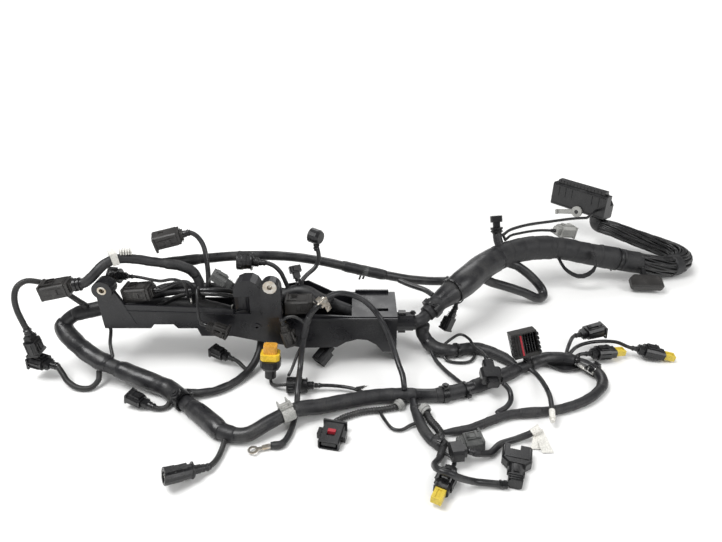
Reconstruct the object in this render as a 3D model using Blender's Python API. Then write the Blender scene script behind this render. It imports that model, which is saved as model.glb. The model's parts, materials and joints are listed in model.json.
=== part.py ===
# An engine wiring harness: a moulded cable channel, the looms that run through it
# and the leads and plugs that branch off them.
# Metres, +Z up, +X to the right and +Y away from the front edge of the bench.
import math

import bmesh
import bpy
from mathutils import Matrix, Vector

GAP = 0.0003  # clearance between pieces that touch
BENCH_MIDDLE = Vector((0.0844, 0.7162, 0.0002))  # the harness's middle, in the places given below

# The channel: a trough along X, open at the top and at its left end
CHANNEL_FRONT = 0.590
CHANNEL_WIDTH = 0.065
CHANNEL_WALL = 0.0025
CHANNEL_FLOOR = 0.0032
CHANNEL_LEFT = -0.333
CHANNEL_RIGHT = 0.047
CHANNEL_UNDERSIDE = [
    (-0.333, 0.061), (-0.273, 0.061), (-0.268, 0.067), (-0.243, 0.067), (-0.238, 0.061),
    (-0.213, 0.061), (-0.209, 0.049), (-0.169, 0.049), (-0.127, 0.039), (-0.074, 0.030),
    (-0.032, 0.031), (-0.020, 0.039), (-0.005, 0.0435), (0.008, 0.0425), (0.020, 0.035),
    (0.031, 0.021), (0.038, 0.0005), (0.047, 0.0005),
]
CHANNEL_RIM = [(0.047, 0.0785), (-0.012, 0.0785), (-0.070, 0.082), (-0.128, 0.0865), (-0.205, 0.092), (-0.333, 0.098)]
LEG_START = 15  # the underside's place where the leg begins
LEG_FLOOR = 0.0368
LEG_HOLLOW_START = 0.017
COVER_LEFT = -0.012
COVER_THICKNESS = 0.003
COVER_RIDGE_HEIGHT = 0.004
COVER_SLOT = (0.018, 0.036, 0.604, 0.611)  # left, right, front and back edges
LIP_DEPTH = 0.0035
LIP_HEIGHT = 0.003
BACK_LOW_END = -0.166  # left of here the rear wall is lower
BACK_LOW_RIM = 0.070
HOOD_OUTLINE = [
    (-0.1620, 0.084), (-0.1605, 0.1205), (-0.1556, 0.1278), (-0.1482, 0.1312), (-0.1378, 0.1312),
    (-0.1310, 0.1270), (-0.1275, 0.1200), (-0.1235, 0.1160), (-0.1235, 0.084),
]
HOOD_BACK = 0.612
HOOD_HOLLOW = (-0.158, -0.132, 0.1135, 0.1275)  # left, right, bottom and top
HOOD_POCKET = (-0.1525, 0.5855, 0.012, 0.083, 0.1085)  # X and Y of its axis, radius, bottom and top
PLUG_NOTCH = (-0.1035, -0.0705, 0.0755)  # left and right edges, and the height of its sill
BACK_RAISE = [(-0.106, 0.074), (-0.101, 0.092), (-0.072, 0.097), (-0.037, 0.0785), (-0.034, 0.070)]
NECK_LENGTH = 0.024
NECK_OUTER = 0.026
NECK_BORE = 0.0205
NECK_PLACE = (0.6268, 0.0478)  # Y and Z of its axis
EYELET_PLACE = (-0.135, 0.063)
EYELET_DIAMETER = 0.011
EYELET_HOLE = 0.0034

# The channel's two fixing lugs and the metal sleeves in them
SLEEVE_HOLE = 0.0066
LEFT_LUG_PLACE = (-0.3212, 0.1212)
LEFT_LUG_DIAMETER = 0.025
LEFT_LUG_FRONT = 0.582
LEFT_LUG_LENGTH = 0.018
LEFT_SLEEVE_DIAMETER = 0.0112
LEFT_GUSSET = [(-0.333, 0.066), (-0.3335, 0.118), (-0.310, 0.115), (-0.303, 0.101), (-0.290, 0.066)]
MIDDLE_LUG_PLACE = (-0.1125, 0.1230)
MIDDLE_HOLE_RISE = 0.0042
MIDDLE_LUG_DIAMETER = 0.0250
MIDDLE_LUG_FRONT = 0.5815
MIDDLE_LUG_LENGTH = 0.0145
MIDDLE_LUG_FOOT = 0.083
MIDDLE_SLEEVE_DIAMETER = 0.0112
MIDDLE_FLANGE_DIAMETER = 0.0176
FLANGE_THICKNESS = 0.0012

# Looms, each with its diameter and the places it runs through
FRONT_TRUNK_DIAMETER = 0.018
FRONT_TRUNK_END_DIAMETER = 0.016
FRONT_TRUNK_ROUTE = [
    (-0.334, 0.619, 0.0765), (-0.360, 0.612, 0.0745), (-0.382, 0.610, 0.068), (-0.394, 0.604, 0.056),
    (-0.381, 0.591, 0.045), (-0.351, 0.570, 0.036), (-0.320, 0.556, 0.027), (-0.280, 0.545, 0.017),
    (-0.244, 0.531, 0.0115), (-0.213, 0.507, 0.0095), (-0.182, 0.480, 0.0095), (-0.154, 0.457, 0.0095),
    (-0.129, 0.453, 0.0100), (-0.104, 0.468, 0.0145), (-0.0775, 0.484, 0.0180), (-0.049, 0.494, 0.0145),
    (-0.019, 0.508, 0.0100), (0.017, 0.518, 0.0088), (0.054, 0.521, 0.0086), (0.092, 0.521, 0.0085),
    (0.123, 0.529, 0.0085), (0.151, 0.541, 0.0085), (0.179, 0.556, 0.0085), (0.206, 0.572, 0.0085),
]
CHANNEL_LOOM_DIAMETER = 0.017
CHANNEL_LOOM_ROUTE = [
    (-0.316, 0.620, 0.0745), (-0.284, 0.620, 0.0775), (-0.255, 0.620, 0.0805), (-0.217, 0.6225, 0.0770),
    (-0.192, 0.6250, 0.0690), (-0.168, 0.6275, 0.0612), (-0.126, 0.635, 0.070),
    (-0.100, 0.640, 0.084), (-0.077, 0.638, 0.089),
    (-0.053, 0.634, 0.078), (-0.022, 0.630, 0.066), (0.012, 0.6265, 0.0560), (0.034, 0.6268, 0.0480),
    (0.045, 0.6268, 0.0465), (0.054, 0.6268, 0.0465),
]
MAIN_TRUNK_DIAMETER = 0.036
MAIN_TRUNK_ROUTE = [
    (0.0918, 0.6419, 0.0499), (0.112, 0.658, 0.062), (0.135, 0.676, 0.070), (0.160, 0.701, 0.0755),
    (0.181, 0.731, 0.075), (0.207, 0.763, 0.0725), (0.240, 0.790, 0.073), (0.284, 0.811, 0.072),
    (0.335, 0.825, 0.065), (0.391, 0.832, 0.0505), (0.418, 0.834, 0.0445), (0.445, 0.836, 0.0385),
]
CONTROL_BUNDLE_DIAMETER = 0.037
CONTROL_BUNDLE_END_DIAMETER = 0.029
CONTROL_BUNDLE_ROUTE = [
    (0.4456, 0.83605, 0.03837), (0.472, 0.838, 0.0325), (0.499, 0.840, 0.0265), (0.538, 0.847, 0.0200),
    (0.566, 0.860, 0.0190), (0.582, 0.884, 0.0190), (0.577, 0.907, 0.0200), (0.557, 0.923, 0.0240),
    (0.532, 0.935, 0.0300), (0.508, 0.945, 0.0365), (0.488, 0.957, 0.0415), (0.474, 0.968, 0.0430),
    (0.4646, 0.9800, 0.0432),
]
UPPER_BUNDLE_DIAMETER = 0.019
UPPER_BUNDLE_END_DIAMETER = 0.014
UPPER_BUNDLE_ROUTE = [
    (0.086, 0.634, 0.0382), (0.0868, 0.632, 0.024), (0.099, 0.620, 0.0115), (0.120, 0.612, 0.0090),
    (0.141, 0.617, 0.0080), (0.161, 0.620, 0.0078), (0.178, 0.612, 0.0078), (0.192, 0.600, 0.0078),
    (0.2015, 0.590, 0.0078),
]
RIGHT_BUNDLE_DIAMETER = 0.013
RIGHT_BUNDLE_END_DIAMETER = 0.0095
RIGHT_BUNDLE_ROUTE = [
    (0.20645, 0.57227, 0.0085), (0.2194, 0.5799, 0.0080), (0.238, 0.592, 0.0075), (0.257, 0.596, 0.0075),
    (0.278, 0.594, 0.0075), (0.298, 0.584, 0.0075), (0.310, 0.567, 0.0070), (0.309, 0.547, 0.0065),
    (0.294, 0.528, 0.0065), (0.268, 0.510, 0.0062), (0.233, 0.497, 0.0060), (0.201, 0.493, 0.0060),
    (0.174, 0.489, 0.0058), (0.151, 0.479, 0.0056), (0.125, 0.467, 0.0054), (0.1015, 0.4620, 0.0054),
]
LOWER_BUNDLE_DIAMETER = 0.012
LOWER_BUNDLE_ROUTE = [
    (0.0640, 0.5117, 0.0086), (0.0641, 0.5035, 0.0080), (0.0660, 0.489, 0.0070),
    (0.0705, 0.467, 0.0065), (0.0790, 0.449, 0.0065),
    (0.0930, 0.438, 0.0070),
]
GROUND_LEAD_DIAMETER = 0.0072
GROUND_LEAD_ROUTE = [
    (-0.100, 0.442, 0.0042), (-0.089, 0.444, 0.0042), (-0.083, 0.455, 0.0042), (-0.080, 0.469, 0.0042),
    (-0.0785, 0.486, 0.0042), (-0.0775, 0.502, 0.0075), (-0.077, 0.515, 0.0185), (-0.077, 0.530, 0.0250),
    (-0.0768, 0.548, 0.0285), (-0.0755, 0.561, 0.042), (-0.072, 0.571, 0.063), (-0.066, 0.577, 0.085),
    (-0.055, 0.581, 0.100), (-0.043, 0.591, 0.107), (-0.027, 0.600, 0.108), (-0.008, 0.600, 0.104),
    (0.009, 0.592, 0.097), (0.023, 0.580, 0.085), (0.033, 0.573, 0.067), (0.041, 0.563, 0.049),
    (0.047, 0.548, 0.036), (0.0515, 0.533, 0.029), (0.0528, 0.5225, 0.0215), (0.0530, 0.5210, 0.0173),
]
BLOCK_LEAD_DIAMETER = 0.0075
BLOCK_LEAD_ROUTE = [
    (0.1135, 0.4225, 0.0172), (0.124, 0.4235, 0.0125), (0.140, 0.4295, 0.0060), (0.155, 0.4440, 0.0045),
    (0.174, 0.4510, 0.0050), (0.190, 0.4550, 0.0090), (0.2005, 0.4575, 0.0150),
]

# Leads that leave a loom, each from the loom outwards: diameter, then places
LEADS = {
    "outlet": (0.0170, [
        (0.0885, 0.6390, 0.0480), (0.0840, 0.6335, 0.0467), (0.0770, 0.6282, 0.0465),
        (0.0690, 0.6268, 0.0465), (0.0610, 0.6268, 0.0465), (0.0545, 0.6268, 0.0465)]),
    "rear_conduit": (0.0135, [
        (0.166, 0.718, 0.064), (0.152, 0.733, 0.054), (0.130, 0.741, 0.048), (0.099, 0.737, 0.051),
        (0.060, 0.728, 0.061), (-0.001, 0.718, 0.080), (-0.060, 0.710, 0.099), (-0.116, 0.700, 0.112),
        (-0.171, 0.688, 0.118), (-0.222, 0.670, 0.122), (-0.250, 0.656, 0.1245), (-0.266, 0.6495, 0.1262)]),
    "link": (0.0070, [
        (-0.361, 0.606, 0.087), (-0.368, 0.603, 0.097), (-0.381, 0.601, 0.111), (-0.393, 0.597, 0.122),
        (-0.402, 0.589, 0.131), (-0.410, 0.581, 0.136), (-0.418, 0.575, 0.132), (-0.423, 0.571, 0.120),
        (-0.424, 0.569, 0.103), (-0.421, 0.568, 0.083), (-0.4185, 0.567, 0.0740), (-0.4180, 0.567, 0.0670)]),
    "prop": (0.0045, [
        (-0.318, 0.564, 0.036), (-0.326, 0.580, 0.044), (-0.331, 0.598, 0.0505),
        (-0.331, 0.5995, 0.0560), (-0.331, 0.5995, 0.0604)]),
    "probe": (0.0070, [
        (-0.336, 0.556, 0.018), (-0.336, 0.549, 0.009), (-0.343, 0.540, 0.0042), (-0.359, 0.540, 0.0042),
        (-0.375, 0.548, 0.0080), (-0.384, 0.556, 0.0145), (-0.3920, 0.5620, 0.0205),
        (-0.4000, 0.5640, 0.0220)]),
    "knock": (0.0060, [
        (-0.233, 0.513, 0.0065), (-0.236, 0.505, 0.0042), (-0.245, 0.502, 0.0040),
        (-0.257, 0.5055, 0.0072)]),
    "crank": (0.0060, [
        (-0.152, 0.446, 0.0070), (-0.153, 0.435, 0.0050), (-0.155, 0.422, 0.0050),
        (-0.1600, 0.4105, 0.0066), (-0.1670, 0.4060, 0.0086)]),
    "sensor_branch": (0.0095, [
        (-0.217, 0.524, 0.0100), (-0.199, 0.527, 0.0072), (-0.182, 0.533, 0.0060), (-0.162, 0.549, 0.0060),
        (-0.147, 0.571, 0.0085), (-0.138, 0.589, 0.018), (-0.135, 0.604, 0.0305), (-0.135, 0.608, 0.0385)]),
    "oil": (0.0050, [(-0.154, 0.574, 0.0090), (-0.165, 0.585, 0.0115), (-0.178, 0.592, 0.0130)]),
    "inline": (0.0045, [
        (0.006, 0.524, 0.0085), (-0.006, 0.5315, 0.0085), (-0.019, 0.5365, 0.0082),
        (-0.039, 0.5385, 0.0090), (-0.059, 0.5378, 0.0098)]),
    "throttle": (0.0070, [
        (0.051, 0.512, 0.0065), (0.042, 0.504, 0.0050), (0.029, 0.501, 0.0042), (0.013, 0.4985, 0.0042),
        (-0.001, 0.4955, 0.0042), (-0.015, 0.4895, 0.0042), (-0.0235, 0.4845, 0.0042),
        (-0.0280, 0.4785, 0.0042), (-0.02894, 0.47340, 0.0045)]),
    "throttle_loop": (0.0040, [
        (0.024, 0.493, 0.0030), (0.029, 0.482, 0.0028), (0.036, 0.470, 0.0028),
        (0.046, 0.4675, 0.0028), (0.0575, 0.4745, 0.0035)]),
    "coil_1": (0.0120, [
        (-0.215, 0.628, 0.087), (-0.216, 0.636, 0.100), (-0.223, 0.640, 0.116), (-0.235, 0.637, 0.127),
        (-0.254, 0.632, 0.134), (-0.273, 0.627, 0.140), (-0.292, 0.621, 0.1465), (-0.307, 0.614, 0.150),
        (-0.318, 0.606, 0.149), (-0.3265, 0.597, 0.1435), (-0.335, 0.590, 0.1350), (-0.3435, 0.5868, 0.1300),
        (-0.3540, 0.5850, 0.1285)]),
    "coil_2": (0.0065, [
        (-0.204, 0.630, 0.097), (-0.2020, 0.633, 0.120), (-0.2040, 0.641, 0.138),
        (-0.2085, 0.650, 0.1520), (-0.2165, 0.6560, 0.1620), (-0.2260, 0.6580, 0.1668),
        (-0.2345, 0.6555, 0.1655)]),
    "coil_3": (0.0060, [
        (-0.221, 0.617, 0.087), (-0.219, 0.615, 0.107), (-0.225, 0.612, 0.1170),
        (-0.236, 0.609, 0.1180), (-0.248, 0.6075, 0.1130), (-0.2570, 0.6088, 0.1080),
        (-0.2665, 0.6090, 0.1070)]),
    "round_1": (0.0040, [
        (-0.224, 0.606, 0.098), (-0.226, 0.604, 0.120), (-0.238, 0.603, 0.1265),
        (-0.254, 0.604, 0.1235), (-0.270, 0.610, 0.1225), (-0.288, 0.615, 0.1235),
        (-0.3020, 0.6165, 0.1237)]),
    "coolant": (0.0035, [
        (-0.210, 0.612, 0.098), (-0.208, 0.600, 0.116), (-0.2065, 0.588, 0.108),
        (-0.2055, 0.5815, 0.094), (-0.2045, 0.5785, 0.082), (-0.2010, 0.5778, 0.0762),
        (-0.1955, 0.5770, 0.0740)]),
    "grey": (0.0060, [
        (-0.170, 0.6255, 0.0720), (-0.165, 0.6215, 0.084), (-0.1615, 0.6175, 0.0980),
        (-0.1635, 0.6168, 0.1060), (-0.1690, 0.6170, 0.1100)]),
    "round_2": (0.0060, [
        (-0.101, 0.642, 0.098), (-0.104, 0.642, 0.107), (-0.108, 0.642, 0.1165),
        (-0.1155, 0.641, 0.1260), (-0.1250, 0.640, 0.1310), (-0.1345, 0.640, 0.1320)]),
    "raised": (0.0060, [
        (-0.080, 0.643, 0.103), (-0.073, 0.652, 0.1075), (-0.063, 0.660, 0.114),
        (-0.058, 0.665, 0.124), (-0.0585, 0.667, 0.135), (-0.0605, 0.668, 0.1410),
        (-0.0605, 0.668, 0.1462)]),
    "upright": (0.0050, [(-0.085, 0.643, 0.100), (-0.0865, 0.6465, 0.1045)]),
    "coil_4": (0.0095, [
        (-0.043, 0.6290, 0.0830), (-0.0405, 0.6200, 0.0880), (-0.0430, 0.6115, 0.0895),
        (-0.0500, 0.6072, 0.0890), (-0.0595, 0.6068, 0.0888)]),
    "cam": (0.0040, [
        (-0.0690, 0.5740, 0.074), (-0.0745, 0.5740, 0.0830), (-0.0850, 0.5735, 0.0895),
        (-0.0950, 0.5735, 0.0870), (-0.0985, 0.5735, 0.0810), (-0.0975, 0.5730, 0.0770)]),
    "spare": (0.0040, [
        (-0.075, 0.5695, 0.050), (-0.081, 0.562, 0.040), (-0.0875, 0.549, 0.0265),
        (-0.0915, 0.542, 0.0213)]),
    "rear_branch": (0.0080, [
        (0.058, 0.722, 0.060), (0.074, 0.712, 0.0575), (0.095, 0.700, 0.0555),
        (0.1060, 0.6855, 0.0545)]),
    "hanging": (0.0060, [(0.1360, 0.6640, 0.054), (0.1350, 0.6620, 0.0485), (0.1322, 0.6600, 0.0420)]),
    "header": (0.0080, [(0.2210, 0.5800, 0.0125), (0.22062, 0.58030, 0.0152), (0.21856, 0.58291, 0.02322)]),
    "riser": (0.0140, [
        (0.2225, 0.786, 0.0870), (0.2190, 0.7920, 0.0970), (0.2175, 0.7970, 0.1060),
        (0.2168, 0.8000, 0.1140)]),
    "riser_wire": (0.0050, [
        (0.2285, 0.799, 0.1010), (0.2420, 0.811, 0.1045), (0.280, 0.843, 0.100),
        (0.330, 0.878, 0.0915), (0.385, 0.915, 0.082), (0.418, 0.9330, 0.0762)]),
    "grey_pair": (0.0045, [
        (0.232, 0.795, 0.0940), (0.246, 0.814, 0.0935), (0.266, 0.833, 0.089),
        (0.288, 0.8500, 0.0850), (0.312, 0.8640, 0.0810), (0.3400, 0.8740, 0.0760)]),
    "flat": (0.0080, [(0.4800, 0.8195, 0.0285), (0.4790, 0.8120, 0.0245), (0.4785, 0.8060, 0.0215)]),
    "control_drop": (0.0250, [(0.4614, 0.9846, 0.0500), (0.4614, 0.9846, 0.0587)]),
    "folded": (0.0145, [
        (0.238, 0.780, 0.0600), (0.2535, 0.779, 0.0545), (0.2769, 0.776, 0.0370), (0.2950, 0.772, 0.0175),
        (0.2965, 0.763, 0.0092), (0.2840, 0.754, 0.0100), (0.2613, 0.751, 0.0215), (0.2299, 0.748, 0.0345),
        (0.2060, 0.744, 0.0440), (0.1900, 0.738, 0.0540)]),
    "cross": (0.0055, [
        (0.0960, 0.616, 0.0105), (0.1010, 0.599, 0.0050), (0.110, 0.579, 0.0040),
        (0.121, 0.560, 0.0045), (0.1288, 0.5440, 0.0070)]),
    "arch": (0.0040, [
        (0.110, 0.6145, 0.0125), (0.124, 0.6245, 0.0185), (0.140, 0.636, 0.0200),
        (0.150, 0.624, 0.0210), (0.1535, 0.602, 0.0230), (0.158, 0.584, 0.0290),
        (0.1606, 0.5700, 0.0325), (0.1609, 0.5579, 0.0311)]),
    "low_loop": (0.0040, [
        (0.1130, 0.6080, 0.0070), (0.117, 0.599, 0.0030), (0.132, 0.594, 0.0025),
        (0.147, 0.596, 0.0025), (0.155, 0.604, 0.0035), (0.157, 0.615, 0.0050)]),
    "branch": (0.0065, [
        (0.162, 0.491, 0.0080), (0.1745, 0.500, 0.0080), (0.182, 0.510, 0.0100),
        (0.1825, 0.521, 0.0155), (0.1755, 0.5265, 0.0225)]),
    "cut": (0.0062, [
        (0.222, 0.577, 0.0070), (0.229, 0.566, 0.0060), (0.232, 0.545, 0.0080),
        (0.230, 0.516, 0.0135), (0.2255, 0.494, 0.0160), (0.2215, 0.476, 0.0130)]),
    "injector_1": (0.0050, [
        (0.279, 0.600, 0.0150), (0.286, 0.613, 0.0175), (0.2940, 0.6225, 0.0255),
        (0.3045, 0.6250, 0.0272)]),
    "injector_2": (0.0050, [(0.284, 0.590, 0.0100), (0.297, 0.5985, 0.0130), (0.3130, 0.6010, 0.0125)]),
    "injector_3": (0.0050, [
        (0.281, 0.597, 0.0130), (0.293, 0.6065, 0.0185), (0.312, 0.6165, 0.0190),
        (0.334, 0.6200, 0.0195), (0.354, 0.6175, 0.0195), (0.3680, 0.6110, 0.0160),
        (0.3800, 0.6090, 0.0140)]),
    "corrugated": (0.0090, [
        (0.066, 0.4985, 0.0085), (0.0745, 0.4935, 0.0110), (0.0805, 0.480, 0.0070),
        (0.088, 0.466, 0.0060), (0.090, 0.455, 0.0060), (0.0795, 0.4485, 0.0066)]),
    "injector_4": (0.0072, [
        (0.0900, 0.4375, 0.0072), (0.0840, 0.4200, 0.0092), (0.0755, 0.401, 0.0190), (0.078, 0.387, 0.0275),
        (0.088, 0.3825, 0.0270), (0.100, 0.3840, 0.0190), (0.116, 0.389, 0.0085),
        (0.133, 0.3895, 0.0055), (0.149, 0.3885, 0.0045)]),
    "grey_small": (0.0045, [(0.0880, 0.4410, 0.0074), (0.0990, 0.4400, 0.0078), (0.1060, 0.4408, 0.0084)]),
    "lock_wire": (0.0035, [
        (0.0865, 0.4285, 0.0080), (0.0940, 0.4262, 0.0066), (0.0990, 0.4205, 0.0062),
        (0.0985, 0.4130, 0.0075), (0.0950, 0.4062, 0.0080)]),
}

PRESSURE_LEAD_DIAMETER = 0.004
PRESSURE_LEAD_ROUTE = [
    (-0.0942, 0.5385, 0.0104), (-0.101, 0.5392, 0.0090), (-0.109, 0.5425, 0.0060), (-0.1150, 0.5495, 0.0030),
    (-0.1166, 0.5541, 0.0050), (-0.1168, 0.5546, 0.0098),
]
VALVE_LEAD_DIAMETER = 0.005
VALVE_LEAD_ROUTE = [(-0.0355, 0.6125, 0.0290), (-0.0355, 0.6125, 0.0272), (-0.0372, 0.6108, 0.0245), (-0.0410, 0.6070, 0.0213)]

EDGE_CLIP = (0.008, 0.0165, 0.0165)
EDGE_CLIP_PLACE = (-0.305, 0.62, 0.15)
STRAP_WIDTH = 0.009
STRAP_THICKNESS = 0.0014
STRAP_ROUTE = [
    (0.3290, 0.8082, 0.0545), (0.3359, 0.8000, 0.0431), (0.3450, 0.7980, 0.0350), (0.3560, 0.7965, 0.0290),
    (0.3660, 0.7950, 0.0272), (0.3775, 0.7960, 0.0305), (0.3870, 0.7985, 0.0385), (0.3905, 0.8025, 0.0475),
    (0.3890, 0.8065, 0.0570), (0.3825, 0.8095, 0.0680),
]

# Plug housings: length, width and height
COIL_PLUG = (0.030, 0.024, 0.018)
INJECTOR_PLUG = (0.026, 0.0185, 0.0150)
SMALL_PLUG = (0.020, 0.015, 0.012)
PROBE_PLUG = (0.020, 0.020, 0.0145)
BOOT_LENGTH = 0.008
BOOT_SHARE = 0.62  # a boot's width and height against its housing's
PLUG_WALL = 0.0016
GROOVE = 0.0022  # between a housing's wall and the terminal block inside it
BLOCK_RECESS = 0.0015
MOUTH_DEPTH = 0.009
LATCH_WIDTH = 0.006
LATCH_HEIGHT = 0.0025
ROUND_PLUG_DIAMETER = 0.020
ROUND_PLUG_LENGTH = 0.015
RAISED_PLUG = [
    (0.0, 0.0165), (0.004, 0.0205), (0.016, 0.0205), (0.016, 0.0172), (0.008, 0.0172),
    (0.008, 0.0125), (0.0145, 0.0125),
]
RAISED_PLUG_PLACE = (-0.0537, 0.6640, 0.1561)
RAISED_PLUG_DIRECTION = (-0.86, 0.5, 0.1)
LOCK_TRAVEL = 0.004
JUNCTION_CLEARANCE = 0.0018  # its lead comes in at a slant
LOCK_LENGTH = 0.020
LOCK_WIDTH = 0.0110
LOCK_HEIGHT = 0.0075
LOCK_SEAT = 0.0055  # how deep a lock sits in its plug before it is pushed home
FLAT_PLUG = [(0.0, 0.040, 0.012), (0.006, 0.052, 0.013), (0.022, 0.052, 0.013), (0.025, 0.046, 0.009)]
THROTTLE_PLUG = (0.034, 0.024, 0.012)
THROTTLE_EAR = (0.010, 0.0045, 0.008)
THROTTLE_FLANGE = (0.003, 0.028, 0.013)
THROTTLE_LOCK = (0.0045, 0.009, 0.0042)
SENSOR_HEAD = (0.026, 0.031, 0.013)
SENSOR_NECK = (0.024, 0.0135, 0.011)
SENSOR_NOTCH = (0.007, 0.011)
BRANCH_PLUG = [
    (0.0, 0.0135, 0.0120), (0.0140, 0.0135, 0.0120), (0.0140, 0.0255, 0.0155), (0.0300, 0.0255, 0.0155),
    (0.0300, 0.0145, 0.0110), (0.0375, 0.0145, 0.0110),
]
BRANCH_PLUG_PLACE = (0.1610, 0.5575, 0.0310)
BRANCH_PLUG_DIRECTION = (0.02, -1.0, -0.18)
HEADER_PLUG = (0.034, 0.034, 0.018)
HEADER_WALL = 0.002
HEADER_DEPTH = 0.012
HEADER_PLACE = (0.2185, 0.5830, 0.0235)
HEADER_TILT = 104  # degrees from lying to leaning past upright
HEADER_LEAN = -18  # degrees that its face looks up
HEADER_LOCK = (0.027, 0.0022, 0.010)
PRESSURE_BODY_DIAMETER = 0.027
PRESSURE_BODY_LENGTH = 0.0135
PRESSURE_NECK_DIAMETER = 0.0145
PRESSURE_NECK_LENGTH = 0.0135
PRESSURE_NOSE = (0.019, 0.0170, 0.0130)
PRESSURE_LOCK_WALL = 0.0030
PRESSURE_LOCK_LENGTH = 0.0085
CONTROL_PLUG = (0.118, 0.028, 0.046)  # along the wall it leans on, across, and high
CONTROL_PLUG_PLACE = (0.4373, 1.0166, 0.0820)
CONTROL_PLUG_TURN = -53.0  # degrees about Z
CONTROL_MOUTH_WALL = 0.003
CONTROL_MOUTH_DEPTH = 0.012
CONTROL_RIDGE = (0.102, 0.012, 0.007)
CONTROL_SLANT = (0.016, 0.022)  # along and down, at its near end
LEVER_BOSS_DIAMETER = 0.022
LEVER_THICKNESS = 0.004
LEVER_ARM = (0.045, 0.009)
LEVER_TILT = -16.0  # degrees that its arm hangs below level
LEVER_PLACE = (0.004, -0.0215)  # along the plug and up, from its middle
LEVER_PIN_DIAMETER = 0.008
PIN_CLEARANCE = 0.00008
PIN_SIDES = 32
TUBE_SPACING = (2.0, 0.009, 0.020)  # in diameters, and at least and at most in metres
STRAIGHT_END = 0.0015
FINE_STEPS = 12


def clear_scene():
    for thing in list(bpy.data.objects):
        bpy.data.objects.remove(thing, do_unlink=True)


def plastic(name, colour, roughness, metallic=0.0):
    """A material of one colour."""
    material = bpy.data.materials.new(name)
    material.use_nodes = True
    shader = material.node_tree.nodes["Principled BSDF"]
    shader.inputs["Base Color"].default_value = (*colour, 1.0)
    shader.inputs["Roughness"].default_value = roughness
    shader.inputs["Metallic"].default_value = metallic
    return material


def add_object(name, data, material=None):
    """A new object in the scene, with one material."""
    piece = bpy.data.objects.new(name, data)
    bpy.context.collection.objects.link(piece)
    if material:
        data.materials.append(material)
    return piece


def mesh_from(name, shape):
    """A mesh with its faces pointing out and round sides shaded smooth."""
    bmesh.ops.recalc_face_normals(shape, faces=shape.faces)
    mesh = bpy.data.meshes.new(name)
    shape.to_mesh(mesh)
    shape.free()
    mesh.shade_smooth()
    mesh.set_sharp_from_angle(angle=math.radians(40))
    return mesh


def bridge(shape, ring_before, ring_after):
    """Side faces between two rings with as many corners."""
    count = len(ring_before)
    for index in range(count):
        following = (index + 1) % count
        shape.faces.new((ring_before[index], ring_before[following], ring_after[following], ring_after[index]))


def closed_rings(name, rings):
    """A solid whose skin passes through the rings in turn, with a flat face at each end."""
    shape = bmesh.new()
    loops = [[shape.verts.new(corner) for corner in ring] for ring in rings]
    for before, after in zip(loops, loops[1:]):
        bridge(shape, before, after)
    shape.faces.new(list(reversed(loops[0])))
    shape.faces.new(loops[-1])
    return mesh_from(name, shape)


def box_ring(x, width, height, chamfer=0.18, y=0.0, z=0.0):
    """A rectangle across X with its corners cut by a share of its shorter side."""
    cut = chamfer * min(width, height)
    half_width, half_height = width / 2, height / 2
    corners = [
        (half_width, half_height - cut), (half_width - cut, half_height),
        (cut - half_width, half_height), (-half_width, half_height - cut),
        (-half_width, cut - half_height), (cut - half_width, -half_height),
        (half_width - cut, -half_height), (half_width, cut - half_height),
    ]
    return [(x, y + across, z + up) for across, up in corners]


def round_ring(x, diameter, sides=12):
    """A circle across X."""
    angles = [2 * math.pi * side / sides for side in range(sides)]
    return [(x, diameter / 2 * math.cos(angle), diameter / 2 * math.sin(angle)) for angle in angles]


def turned(name, profile, material, sides=12):
    """A round piece along X from (x, diameter) pairs."""
    return add_object(name, closed_rings(name, [round_ring(x, size, sides) for x, size in profile]), material)


def stacked(name, profile, material, chamfer=0.18):
    """A boxy piece along X from (x, width, height) rows."""
    rings = [box_ring(x, width, height, chamfer) for x, width, height in profile]
    return add_object(name, closed_rings(name, rings), material)


def block(name, low, high, material=None):
    """A box between two corners."""
    shape = bmesh.new()
    bmesh.ops.create_cube(shape, size=1.0)
    low, high = Vector(low), Vector(high)
    for corner in shape.verts:
        corner.co = [low[i] + (corner.co[i] + 0.5) * (high[i] - low[i]) for i in range(3)]
    return add_object(name, mesh_from(name, shape), material)


def slab(name, outline, front, back, material=None):
    """A flat piece from an (x, z) outline, between two planes across Y."""
    shape = bmesh.new()
    face = shape.faces.new([shape.verts.new((x, front, z)) for x, z in outline])
    grown = bmesh.ops.extrude_face_region(shape, geom=[face])
    moved = [item for item in grown["geom"] if isinstance(item, bmesh.types.BMVert)]
    bmesh.ops.translate(shape, verts=moved, vec=(0.0, back - front, 0.0))
    return add_object(name, mesh_from(name, shape), material)


def rod(name, diameter, start, end, sides=16):
    """A cylinder between two points."""
    start, end = Vector(start), Vector(end)
    turn = (end - start).to_track_quat("X", "Z").to_matrix().to_4x4()
    rings = [round_ring(0.0, diameter, sides), round_ring((end - start).length, diameter, sides)]
    piece = add_object(name, closed_rings(name, rings))
    piece.data.transform(Matrix.Translation(start) @ turn)
    return piece


def combine(piece, tool, operation):
    """Join the tool to the piece, or cut the piece with it, and keep the tool as a hidden guide."""
    tool.parent = piece
    tool.hide_render = True
    tool.display_type = "WIRE"
    step = piece.modifiers.new(operation.lower(), "BOOLEAN")
    step.operation = operation
    step.solver = "EXACT"
    step.object = tool


def join(piece, tool):
    combine(piece, tool, "UNION")


def cut(piece, tool):
    combine(piece, tool, "DIFFERENCE")


def at_bench(place):
    return Vector(place) - BENCH_MIDDLE


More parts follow.
